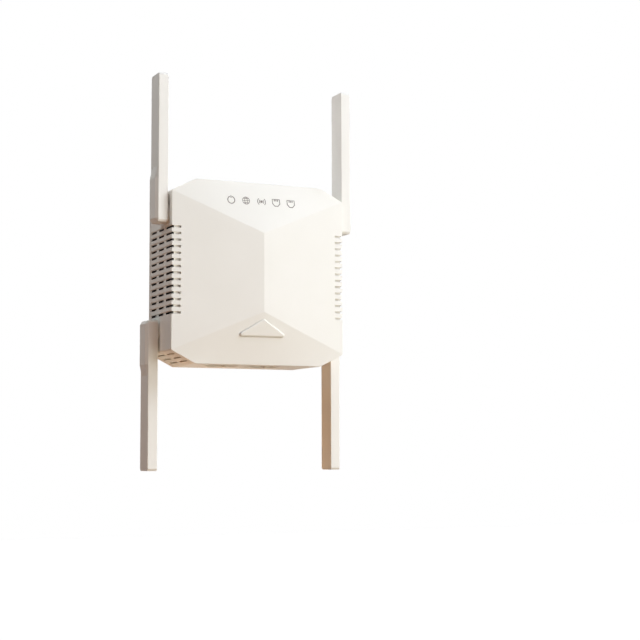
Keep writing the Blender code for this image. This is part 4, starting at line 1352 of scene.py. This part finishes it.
@dataclass
class RearCover:
    """Flat back plate with its lip, posts, screw recesses and blade slots."""

    housing: Housing
    edge: Rounding = Rounding(0.35 * MM, steps=3, fold=20.0)
    hole: Rounding = Rounding(0.15 * MM, steps=2, fold=60.0)

    def build(self) -> Piece:
        """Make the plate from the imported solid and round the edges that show.

        Returns:
            The piece, not yet handed to the frame.
        """
        plate = merged_copy("rear_cover", "rear_moulding")
        self.edge.soften(plate, self.on_outline)
        self.hole.soften(plate, self.on_back)
        return plate

    def on_outline(self, edge: Edge) -> bool:
        """Whether an edge lies on the plate's outer edge, front or back."""
        return all(self.housing.on_skin(vert.co) for vert in edge.verts)

    @staticmethod
    def on_back(edge: Edge) -> bool:
        """Whether an edge lies in the back face, where the rims of its holes are."""
        return all(abs(vert.co.y) < MERGE for vert in edge.verts)

    def dress(self, plate: Piece) -> None:
        """Finish the plate and hand it over."""
        hand_over(plate, IVORY, "housing", "ivory_shell", "rear_cover")


@dataclass
class Antenna:
    """Flat antenna with a thicker pad at its base and a hollow pivot stub."""

    place: str
    housing: Housing
    pivot: Vector
    length: float
    width: float
    thickness: float = 3.9 * MM
    standoff: float = 0.77 * MM
    base_end: float = 3.6 * MM
    end_round: float = 1.2 * MM
    chin_inset: float = 0.5 * MM
    chin_length: float = 0.8 * MM
    edge_round: float = 0.22 * MM
    pad_rise: float = 0.9 * MM
    pad_length: float = 17.0 * MM
    pad_wedge: float = 4.3 * MM
    pad_ledge: float = 0.15 * MM
    pad_slope: float = 1.2 * MM
    crest: float = 0.06 * MM
    shell: float = 1.0 * MM
    stub_radius: float = 2.5 * MM
    stub_reach: float = 2.9 * MM
    groove_depth: float = 0.6 * MM
    bore_radius: float = 1.0 * MM
    bore_steps: int = 24
    cavity_steps: int = 4
    clip_thickness: float = 0.6 * MM
    arc_steps: int = 6
    arc_share: float = 0.999
    arc_limit: float = 2.1

    @classmethod
    def from_frame(cls, place: str, housing: Housing, pivot: Vector) -> "Antenna":
        """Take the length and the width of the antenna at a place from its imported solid."""
        low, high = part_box(f"antenna_{place}")
        return cls(place, housing, pivot, high.z - low.z, high.y - low.y)

    def at(self, out: float, y: float, along: float) -> Vector:
        """A point from the pivot: its distance out from the wall, its depth, and how far it is along."""
        x_sign, z_sign = (math.copysign(1.0, value) for value in (self.pivot.x, self.pivot.z))
        return self.pivot + Vector((x_sign * out, y, z_sign * along))

    def tool(self, name: str, levels: Sequence[tuple[float, Outline]]) -> Piece:
        """A closed shape through outlines in depth and length, each at a distance out from the wall."""
        rings = [[self.at(out, y, along) for y, along in outline] for out, outline in levels]
        return Draft().loft(rings).finish(name)

    @staticmethod
    def rounding(depth: float, radius: float) -> float:
        """How far an end rounded to a radius draws in at a depth from the end, none past the radius."""
        return 0.0 if depth >= radius else radius - math.sqrt(radius**2 - (radius - depth) ** 2)

    def chamfer(self, depth: float) -> float:
        """How far a chamfered end draws in at a depth from the end."""
        return self.chin_inset * max(1 - depth / self.chin_length, 0.0)

    def pad_height(self, depth: float) -> float:
        """How far the pad stands out at a depth from the base end.

        Args:
            depth: Distance from the base end.

        Returns:
            The height of the pad.
        """
        start, full = self.pad_ledge, self.pad_ledge + self.pad_slope
        end = self.pad_length + self.pad_wedge
        rise = min((depth - start) / (full - start), (end - depth) / self.pad_wedge, 1.0)
        return self.pad_rise * max(rise, 0.0)

    def depths(self) -> list[float]:
        """Places at which the antenna has a section.

        Returns:
            Their distances from the base end, in order.
        """
        turns = [math.pi / 2 * i / self.arc_steps for i in range(self.arc_steps + 1)]
        ends = {r * (1 - math.cos(turn)) for r in (self.end_round, self.edge_round) for turn in turns}
        full = self.pad_ledge + self.pad_slope
        marks = (full, self.pad_length, self.pad_length + self.pad_wedge)
        guards = {mark + shift * self.crest for mark in marks for shift in (-1, 0, 1)}
        base = guards | {self.edge_round * (1 - math.cos(turn)) for turn in turns}
        base |= {self.pad_ledge, self.chin_length}
        tip = {self.length - end for end in ends | {self.chin_length}}
        ordered = sorted(base | tip)
        return [d for i, d in enumerate(ordered) if i == 0 or d - ordered[i - 1] > NEAR]

    def section(self, depth: float) -> list[Vector]:
        """Section of the antenna at a distance from its base end.

        Args:
            depth: Distance from the base end.

        Returns:
            Points round the section.
        """
        end = min(depth, self.length - depth)
        drawn = self.rounding(end, self.edge_round)
        inner, outer = self.standoff + drawn, self.standoff + self.thickness - drawn
        pad = self.pad_height(depth)
        most = (outer - inner) / self.arc_limit
        soft = min(self.edge_round * self.arc_share, most)
        corner = min(soft + (self.pad_ledge - soft) * pad / self.pad_rise, most)

        def half_ring(half: float) -> Outline:
            """Half of the section, from the inner side round one edge to the middle of the outer side.

            Args:
                half: Distance from the middle to the edge.

            Returns:
                Its points.
            """
            top = Vector((outer + pad, half - self.pad_ledge - self.pad_slope))
            foot = Vector((outer, half - corner))
            before = top + (foot - top).normalized() * self.crest
            after = top - Vector((0.0, self.crest))
            points = arc((inner + soft, half - soft), soft, 180.0, 90.0, self.arc_steps)
            points += arc((outer - corner, half - corner), corner, 90.0, 0.0, self.arc_steps)
            return [*points, tuple(before), tuple(after)]

        front = half_ring(self.width / 2 - self.chamfer(end))
        tip = self.rounding(self.length - depth, self.end_round)
        back = half_ring(self.width / 2 - max(tip, self.chamfer(depth)))
        ring = back + [(out, -y) for out, y in reversed(front)]
        return [self.at(out, y, depth - self.base_end) for out, y in ring]

    def on_axis(self, name: str, profile: Outline, steps: int = ROUND_STEPS) -> Piece:
        """A turned tool on the pivot's axis, from its rings' radii and distances out from the wall."""
        return self.tool(name, [(out, circle(0.0, 0.0, radius, steps)) for radius, out in profile])

    def build(self) -> Piece:
        """Make the antenna's moulding.

        Returns:
            The piece, not yet handed to the frame.
        """
        rings = [self.section(depth) for depth in self.depths()]
        sleeve = Draft().loft(rings).finish(f"antenna_moulding_{self.place}")
        end = -self.housing.wall - self.stub_reach
        groove = end + self.clip_thickness + self.housing.seat_gap
        past = groove + self.clip_thickness + 2 * self.housing.seat_gap
        neck = self.stub_radius - self.groove_depth
        profile = [(self.stub_radius, end), (self.stub_radius, groove), (neck, groove), (neck, past)]
        profile += [(self.stub_radius, past), (self.stub_radius, self.standoff + FUSE)]
        combine(sleeve, self.on_axis("stub", profile), Operation.JOIN)
        combine(sleeve, self.cavity(), Operation.CUT)
        bore = [(self.bore_radius, end - OVERCUT), (self.bore_radius, self.standoff + self.shell + FUSE)]
        combine(sleeve, self.on_axis("bore", bore, self.bore_steps), Operation.CUT)
        return sleeve

    def cavity(self) -> Piece:
        """The hollow that the radiator sits in.

        Returns:
            The tool that cuts it.
        """
        half = self.width / 2 - self.shell
        low, high = self.shell - self.base_end, self.length - self.shell - self.base_end
        outline = rounded(rectangle(-half, half, low, high), self.end_round / 2, self.cavity_steps)
        floor, roof = self.standoff + self.shell, self.standoff + self.thickness - self.shell
        return self.tool("cavity", [(floor, outline), (roof, outline)])

    def dress(self, sleeve: Piece) -> None:
        """Finish the moulding and hand it over."""
        node = f"antenna_{self.place}"
        hand_over(sleeve, IVORY, node, "ivory_shell", node)


@dataclass
class PairingButton:
    """Triangular button cap with a retaining flange and a stem."""

    housing: Housing
    chamfer: float = 0.5 * MM
    chamfer_depth: float = 0.34 * MM
    edge: Rounding = Rounding(0.08 * MM, steps=2, fold=25.0)
    flange: float = 0.9 * MM
    flange_thickness: float = 0.8 * MM
    stem_radius: float = 1.2 * MM
    stem_steps: int = 24

    def build(self) -> Piece:
        """Make the cap.

        Returns:
            The piece, not yet handed to the frame.
        """
        form = self.housing
        shape = ButtonForm(form)
        low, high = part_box("pairing_button")
        slope = form.ridge_rise / (form.half_height - form.half_ridge)
        front = low.y + slope * (shape.base_z() + shape.height)
        seat_z = shape.middle_z()
        flange_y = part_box("tact_switch")[0].y - 2 * self.flange_thickness

        def slanted(outlines: Sequence[Outline], depths: Sequence[float]) -> Draft:
            """A plate whose faces lie along the facet."""
            pairs = zip(outlines, depths)
            return Draft().loft([[Vector((x, y - slope * z, z)) for x, z in outline] for outline, y in pairs])

        plate, half = flange_y + slope * seat_z, self.flange_thickness / 2
        shoulder = front + self.chamfer_depth
        outlines = (shape.outline(-self.chamfer), shape.outline(0.0), shape.outline(0.0))
        cap = slanted(outlines, (front, shoulder, plate)).finish("button_moulding")
        self.edge.soften(cap)
        lip = slanted((shape.outline(self.flange),) * 2, (plate - half, plate + half))
        combine(cap, lip.finish("lip"), Operation.JOIN)
        stem = circle(0.0, seat_z, self.stem_radius, self.stem_steps)
        combine(cap, Draft().prism(stem, Axis.Y, flange_y, high.y).finish("stem"), Operation.JOIN)
        return cap

    def dress(self, cap: Piece) -> None:
        """Finish the cap and hand it over."""
        hand_over(cap, IVORY, "button", "ivory_shell", "pairing_button")


class Pictogram(Enum):
    """Generic marks over the status lights, left to right."""

    POWER = "power"
    GLOBE = "globe"
    SIGNAL = "signal"
    PORT_ONE = "port one"
    PORT_TWO = "port two"

    def strokes(self) -> list[Outline]:
        """The mark's lines, for a mark two units across.

        Returns:
            The lines about the mark's middle.
        """
        if self is Pictogram.POWER:
            return [arc((0.13, -0.05), 0.79, 108.0, 432.0, 32), [(0.13, 0.93), (0.13, 0.40)]]
        if self is Pictogram.GLOBE:
            meridian = [(0.36 * x, y) for x, y in arc((0.0, 0.0), 0.8, 0.0, 360.0, 28)]
            parallels = [[(-0.68, h), (0.68, h)] for h in (-0.46, 0.46)]
            equator = [(-0.8, 0.0), (0.8, 0.0)]
            return [arc((0.0, 0.0), 0.8, 0.0, 360.0, 32), meridian, *parallels, equator]
        if self is Pictogram.SIGNAL:
            turns = [(r, turn) for r in (0.52, 0.92) for turn in (0.0, 180.0)]
            bows = [arc((0.08, 0.0), r, turn - 48.0, turn + 48.0, 10) for r, turn in turns]
            return [*bows, *(arc((0.08, 0.0), r, 0.0, 360.0, 12) for r in (0.05, 0.14, 0.22))]
        body = [(0.86, 0.76), (0.86, -0.22), (0.36, -0.78), (-0.36, -0.78), (-0.86, -0.22), (-0.86, 0.76)]
        teeth = [[(x, 0.76), (x, 0.3)] for x in (-0.36, 0.0, 0.36)]
        return [[*body, body[0]], *teeth]


@dataclass
class StatusRow:
    """Printed marks in front of the status lights."""

    housing: Housing
    mark_size: float = 3.6 * MM
    stroke: float = 0.36 * MM
    fine_stroke: float = 0.22 * MM
    bow_stroke: float = 0.29 * MM
    film: float = 0.12 * MM
    proud: float = 0.03 * MM
    lean: float = 0.2
    drop: float = 0.11 * MM

    def build(self) -> Piece:
        """Make all five marks as ribbons that lie on the top facet.

        Returns:
            The piece, not yet handed to the frame.
        """
        draft = Draft()
        for index, mark in enumerate(Pictogram, start=1):
            low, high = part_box(f"status_led_{index}")
            draft.take(self.mark(mark, (low + high) / 2))
        return draft.finish("status_marks")

    def mark(self, mark: Pictogram, middle: Vector) -> Piece:
        """One mark as ribbons.

        Args:
            mark: Which mark it is.
            middle: Where it goes.

        Returns:
            Its ribbons as a plain mesh.
        """
        curve = bpy.data.curves.new("mark_lines", "CURVE")
        curve.dimensions = "3D"
        for line in mark.strokes():
            self.add_line(curve, line, middle)
        path = bpy.data.objects.new("mark_lines", curve)
        bpy.context.scene.collection.objects.link(path)
        fine = {Pictogram.GLOBE: self.fine_stroke, Pictogram.SIGNAL: self.bow_stroke}
        width = fine.get(mark, self.stroke)
        sizes = {"width": width, "thickness": self.film, "facing": Vector((0.0, -1.0, self.lean))}
        ribbons = stroke_recipe().make(mark.value, path=path, finish=INK.material(), **sizes)
        bpy.data.objects.remove(path)
        return ribbons

    def add_line(self, curve: bpy.types.Curve, line: Outline, middle: Vector) -> None:
        """Add one line of a mark to the curve.

        Args:
            curve: The curve that holds all lines.
            line: The line about the mark's middle.
            middle: Where the mark goes.
        """
        spline = curve.splines.new("POLY")
        closed = (Vector(line[0]) - Vector(line[-1])).length < MERGE
        points = line[:-1] if closed else line
        spline.use_cyclic_u = closed
        spline.points.add(len(points) - 1)
        for knot, (a, b) in zip(spline.points, points):
            x, z = middle.x + a * self.mark_size / 2, middle.z - self.drop + b * self.mark_size / 2
            y = self.housing.crown(x, z) + self.film / 2 - self.proud
            knot.co = (x, y, z, 1.0)

    def dress(self, marks: Piece) -> None:
        """Finish the marks and hand them over."""
        hand_over(marks, INK, "housing", "ivory_shell")


@dataclass
class NetworkJack:
    """Jack body with its mouth, contact insert and eight sprung contacts."""

    hand: str
    edge: Rounding = Rounding(0.18 * MM, steps=2, fold=60.0)
    insert_length: float = 3.0 * MM
    spring_count: int = 8
    spring_pitch: float = 1.02 * MM
    spring_side: float = 0.4 * MM
    spring_rise: float = 1.4 * MM
    spring_steps: int = 12
    curl_start: float = 0.85
    curl_share: float = 0.15

    def build(self) -> list[Piece]:
        """Make the body, the insert and the springs.

        Returns:
            The three pieces in that order.
        """
        body = merged_copy(f"network_jack_{self.hand}", f"jack_body_{self.hand}")
        low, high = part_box(f"jack_contacts_{self.hand}")
        section = rectangle(low.x, high.x, low.y, high.y)
        insert = Draft().prism(section, Axis.Z, high.z - self.insert_length, high.z)
        block = insert.finish(f"jack_insert_{self.hand}")
        for piece in (body, block):
            self.edge.soften(piece)
        return [body, block, self.springs(low, high)]

    def springs(self, low: Vector, high: Vector) -> Piece:
        """A row of eight bent springs.

        Args:
            low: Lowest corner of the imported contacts.
            high: Highest corner of them.

        Returns:
            The row.
        """
        half = self.spring_side / 2
        root_y, tip_y = low.y + self.spring_side, low.y + self.spring_rise
        reach = high.z - self.insert_length / 2 - low.z
        rings = []
        for step in range(self.spring_steps + 1):
            share = step / self.spring_steps
            lift = math.sin(share * math.pi / 2) * (tip_y - root_y)
            curl = self.spring_side * max(share - self.curl_start, 0.0) / self.curl_share
            y, z = root_y + lift - curl, high.z - self.insert_length / 2 - reach * share
            section = rectangle(-half, half, y, y + self.spring_side)
            rings.append([Vector((a, b, z)) for a, b in section])
        spring = Draft().loft(rings).finish("spring")
        GILT.dress(spring)
        middle = (low.x + high.x) / 2
        first = Vector((middle - (self.spring_count - 1) / 2 * self.spring_pitch, 0.0, 0.0))
        step = Vector((self.spring_pitch, 0.0, 0.0))
        return row_of(spring, f"jack_springs_{self.hand}", self.spring_count, first, step)

    def dress(self, pieces: list[Piece]) -> None:
        """Finish the three pieces and hand them over.

        Args:
            pieces: Body, insert and springs.
        """
        body, block, springs = pieces
        contacts = f"jack_contacts_{self.hand}"
        hand_over(body, JACK_BLACK, "housing", "jack_plastic", f"network_jack_{self.hand}")
        hand_over(block, SATIN_BLACK, "housing", "jack_plastic", contacts)
        hand_over(springs, None, "housing", "brass", contacts)


@dataclass
class PlugBlade:
    """Flat plug blade with eased edges."""

    hand: str
    edge: Rounding = Rounding(0.2 * MM, steps=3, fold=40.0)

    def build(self) -> Piece:
        """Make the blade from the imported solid.

        Returns:
            The piece, not yet handed to the frame.
        """
        blade = merged_copy(f"plug_blade_{self.hand}", f"blade_{self.hand}")
        self.edge.soften(blade)
        return blade

    def dress(self, blade: Piece) -> None:
        """Finish the blade and hand it over."""
        hand_over(blade, BRASS, "housing", "brass", f"plug_blade_{self.hand}")


@dataclass
class CaseScrews:
    """Four pan-head screws with cross recesses in the rear face."""

    head_radius: float = 1.75 * MM
    head_height: float = 1.1 * MM
    crown: float = 0.5 * MM
    crown_steps: int = 6
    shank_radius: float = 0.7 * MM
    tip_share: float = 0.4
    cross_length: float = 2.0 * MM
    cross_width: float = 0.5 * MM
    cross_depth: float = 0.7 * MM

    def build(self) -> Piece:
        """Make one screw and repeat it in two rows of two.

        Returns:
            The piece, not yet handed to the frame.
        """
        places = dict(screw_places())
        low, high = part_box("case_screw_bottom_left")
        shank, seat = self.shank_radius, high.y - self.head_height
        profile = [(shank * self.tip_share, low.y), (shank, low.y + shank)]
        profile += [(shank, seat), (self.head_radius, seat)]
        for step in range(self.crown_steps + 1):
            turn = math.pi / 2 * step / self.crown_steps
            radius = self.head_radius - self.crown * (1 - math.cos(turn))
            profile.append((radius, high.y - self.crown * (1 - math.sin(turn))))
        screw = Draft().turned(profile, 0.0, 0.0).finish("screw")
        half, wide = self.cross_width / 2, self.cross_length / 2
        for arm in (rectangle(-wide, wide, -half, half), rectangle(-half, half, -wide, wide)):
            slot = Draft().prism(arm, Axis.Y, high.y - self.cross_depth, high.y + OVERCUT)
            combine(screw, slot.finish("cross"), Operation.CUT)
        STEEL.dress(screw)
        start, end = places["case_screw_bottom_left"], places["case_screw_top_right"]
        across = Vector((end.x - start.x, 0.0, 0.0))
        pair = row_of(screw, "screw_pair", len(Side), Vector((start.x, 0.0, start.z)), across)
        return row_of(pair, "cover_screws", len(Tier), Vector(), Vector((0.0, 0.0, end.z - start.z)))

    def dress(self, screws: Piece) -> None:
        """Hand the screws over; they got their finish as they were built."""
        hand_over(screws, None, "housing", "bare_steel", *dict(screw_places()))


INSIDE_FINISHES = {
    "main_board": BOARD,
    "power_board": BOARD,
    "antenna_radiator": BOARD,
    "antenna_clip": STEEL,
    "antenna_lead": LEAD_JACKET,
    "lead_connector": BRASS,
    "radio_shield": TIN,
    "light_guide": CLEAR,
    "status_led": LED_RESIN,
    "transformer_core": SINTERED,
    "transformer_winding": TAPE,
    "input_capacitor": SLEEVE,
    "output_capacitor": SLEEVE,
}


@dataclass
class Interior:
    """The pieces inside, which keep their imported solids."""

    nodes: dict[str, Piece]

    @staticmethod
    def finish_of(name: str) -> Finish:
        """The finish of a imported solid, by the start of its name."""
        fitting = (finish for start, finish in INSIDE_FINISHES.items() if name.startswith(start))
        return next(fitting, SATIN_BLACK)

    def dress(self) -> None:
        """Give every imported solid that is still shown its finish."""
        for name, node in sorted(self.nodes.items()):
            if not node.hide_render:
                finish = self.finish_of(name)
                finish.dress(node)
                LOG.info("%s: packed solid in %s", name, finish.name)


@dataclass(frozen=True)
class Lamp:
    """A soft square lamp aimed at a point."""

    name: str
    place: Spot
    aim: Spot
    size: float
    power: float
    colour: Colour

    def build(self) -> None:
        """Hang the lamp, which the camera doesn't see."""
        lamp = bpy.data.lights.new(self.name, "AREA")
        lamp.size = self.size
        lamp.energy = self.power
        lamp.color = self.colour
        holder = bpy.data.objects.new(self.name, lamp)
        holder.location = self.place
        holder.rotation_mode = "QUATERNION"
        holder.rotation_quaternion = (Vector(self.place) - Vector(self.aim)).to_track_quat("Z", "Y")
        holder.visible_camera = False
        bpy.context.scene.collection.objects.link(holder)


MIDDLE = (0.0, -0.015, 0.0)
UPPER_LEFT, LOWER_LEFT = (-0.03, -0.02, 0.02), (-0.04, -0.01, -0.055)
UPPER_RIGHT, LOWER_RIGHT = (0.037, -0.02, 0.045), (0.037, -0.02, -0.045)
LAMPS = (
    Lamp("key", (0.495, -0.440, 0.440), MIDDLE, 0.38, 4.35, (0.93, 1.01, 1.14)),
    Lamp("front_key", (0.22, -0.75, 0.20), MIDDLE, 0.31, 1.5, (0.98, 1.02, 1.10)),
    Lamp("low_key", (0.470, -0.620, -0.220), MIDDLE, 0.50, 2.5, (0.99, 1.02, 0.85)),
    Lamp("top_fill", (-0.20, -0.08, 0.60), MIDDLE, 0.30, 0.28, (0.95, 1.0, 1.05)),
    Lamp("low_fill", (-0.047, -0.549, -0.450), MIDDLE, 0.33, 1.05, (0.98, 0.49, 0.20)),
    Lamp("left_fill", (-0.26, -0.07, 0.18), UPPER_LEFT, 0.15, 0.21, (0.93, 1.02, 1.06)),
    Lamp("left_bounce", (-0.24, -0.05, -0.16), LOWER_LEFT, 0.12, 0.064, (1.0, 0.42, 0.18)),
    Lamp("high_bounce", (-0.02, 0.03, 0.075), UPPER_RIGHT, 0.03, 0.0225, (1.02, 0.99, 0.98)),
    Lamp("deep_bounce", (-0.02, 0.03, -0.075), LOWER_RIGHT, 0.03, 0.0146, (1.0, 0.62, 0.31)),
)


@dataclass
class Studio:
    """Pale floor, soft light and the camera of the photograph."""

    camera_place: Spot = (-223.6 * MM, -550.5 * MM, -69.6 * MM)
    lens: float = 83.13
    sensor: float = 36.0
    near: float = 10.0 * MM
    yaw: float = 25.46
    pitch: float = 5.17
    roll: float = -0.16
    lamps: tuple[Lamp, ...] = LAMPS
    floor_z: float = -450.0 * MM
    floor_size: float = 12.0
    floor_pale: Colour = (0.86, 0.855, 0.845)
    floor_bounce: Colour = (0.15, 0.095, 0.055)
    floor_glow: float = 0.77
    floor_roughness: float = 0.9
    back_from: Spot = (0.35, 0.85, 0.4)
    back_power: float = 1.3
    back_spread: float = 70.0
    ambient: float = 0.02
    ambient_tint: Colour = (1.0, 0.985, 0.96)
    front_glow: float = 0.02

    def build(self) -> None:
        """Make the camera, the lights, the world and the floor."""
        self.set_camera()
        for lamp in self.lamps:
            lamp.build()
        self.add_back_fill()
        self.set_world()
        self.lay_floor()
        bpy.context.scene.view_settings.view_transform = "Standard"

    def set_camera(self) -> None:
        """Make the camera and take the picture with it."""
        lens = bpy.data.cameras.new("camera")
        lens.lens = self.lens
        lens.sensor_width = self.sensor
        lens.clip_start = self.near
        yaw, pitch, roll = (math.radians(angle) for angle in (self.yaw, self.pitch, self.roll))
        ahead = Vector((math.sin(yaw) * math.cos(pitch), math.cos(yaw) * math.cos(pitch), math.sin(pitch)))
        right = Vector((math.cos(yaw), -math.sin(yaw), 0.0))
        up = right.cross(ahead)
        across = right * math.cos(roll) + up * math.sin(roll)
        above = up * math.cos(roll) - right * math.sin(roll)
        turn = Matrix((across, above, -ahead)).transposed()
        camera = bpy.data.objects.new("camera", lens)
        camera.matrix_world = Matrix.Translation(Vector(self.camera_place)) @ turn.to_4x4()
        bpy.context.scene.collection.objects.link(camera)
        bpy.context.scene.camera = camera

    def add_back_fill(self) -> None:
        """Add a soft distant lamp that lights the rear."""
        lamp = bpy.data.lights.new("back_fill", "SUN")
        lamp.energy = self.back_power
        lamp.angle = math.radians(self.back_spread)
        holder = bpy.data.objects.new("back_fill", lamp)
        holder.rotation_mode = "QUATERNION"
        holder.rotation_quaternion = Vector(self.back_from).to_track_quat("Z", "Y")
        bpy.context.scene.collection.objects.link(holder)

    @staticmethod
    def seen_directly(wiring: Wiring) -> Socket:
        """A mask for rays that show the background itself or its mirror image.

        Args:
            wiring: The tree it goes into.

        Returns:
            The mask.
        """
        path = wiring.node("ShaderNodeLightPath").outputs
        mirrored = wiring.math("MAXIMUM", path["Is Glossy Ray"], path["Is Transmission Ray"])
        return wiring.math("MAXIMUM", path["Is Camera Ray"], mirrored)

    def set_world(self) -> None:
        """Make a white background that lights the object softly, more from the front."""
        world = bpy.data.worlds.new("studio")
        world.use_nodes = True
        bpy.context.scene.world = world
        wiring = Wiring(world.node_tree)
        soft, output = (world.node_tree.nodes[key] for key in ("Background", "World Output"))
        direction = wiring.node("ShaderNodeTexCoord").outputs["Generated"]
        depth = wiring.node("ShaderNodeSeparateXYZ", {0: direction}).outputs["Y"]
        front = wiring.spread(depth, low=-1.0, high=0.0, to=(self.front_glow, 0.0))
        glow = wiring.math("ADD", front, self.ambient)
        wiring.feed(soft, {"Color": (*self.ambient_tint, 1.0), "Strength": glow})
        white = wiring.node("ShaderNodeBackground", {"Color": WHITE, "Strength": 1.0})
        shares = {0: self.seen_directly(wiring), 1: soft.outputs[0], 2: white.outputs[0]}
        wiring.feed(output, {"Surface": wiring.node("ShaderNodeMixShader", shares).outputs[0]})

    def lay_floor(self) -> None:
        """Lay the floor, pale to the eye, with a warm bounce and the object's shadow."""
        reach = self.floor_size / 2
        draft = Draft()
        draft.face([Vector((x, y, self.floor_z)) for x, y in rectangle(-reach, reach, -reach, reach)])
        floor = draft.finish("floor")
        paper = Surface("floor_paper")
        seen = self.seen_directly(paper)
        paper.paint(seen, self.floor_bounce, self.floor_pale)
        paper.plain(roughness=self.floor_roughness, emission_color=WHITE)
        paper.feed(paper.shader, {"Emission Strength": paper.math("MULTIPLY", seen, self.floor_glow)})
        floor.data.materials.append(paper.material)


def hinge_places(joints: list[dict]) -> dict[str, Vector]:
    """Where each antenna's hinge is, by the antenna's name, from the frame's joints."""
    ending = "_fold"
    return {j["name"].removesuffix(ending): Vector(j["pos_m"]) for j in joints if j["name"].endswith(ending)}


def main() -> None:
    """Build every piece on the frame, set the studio and log each piece's faces."""
    logging.basicConfig(level=logging.INFO, format="%(message)s")
    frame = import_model()
    housing = Housing.from_frame()
    pivots = hinge_places(frame["joints"])
    parts = [FrontCover(housing, pivots), RearCover(housing), PairingButton(housing), StatusRow(housing)]
    parts += [Antenna.from_frame(place, housing, pivot) for place, pivot in pivots.items()]
    parts += [NetworkJack(hand) for hand in HANDS]
    parts += [PlugBlade(hand) for hand in HANDS]
    parts.append(CaseScrews())
    for part in parts:
        part.dress(part.build())
    Interior(frame["nodes"]).dress()
    Studio().build()


if __name__ == "__main__":
    main()
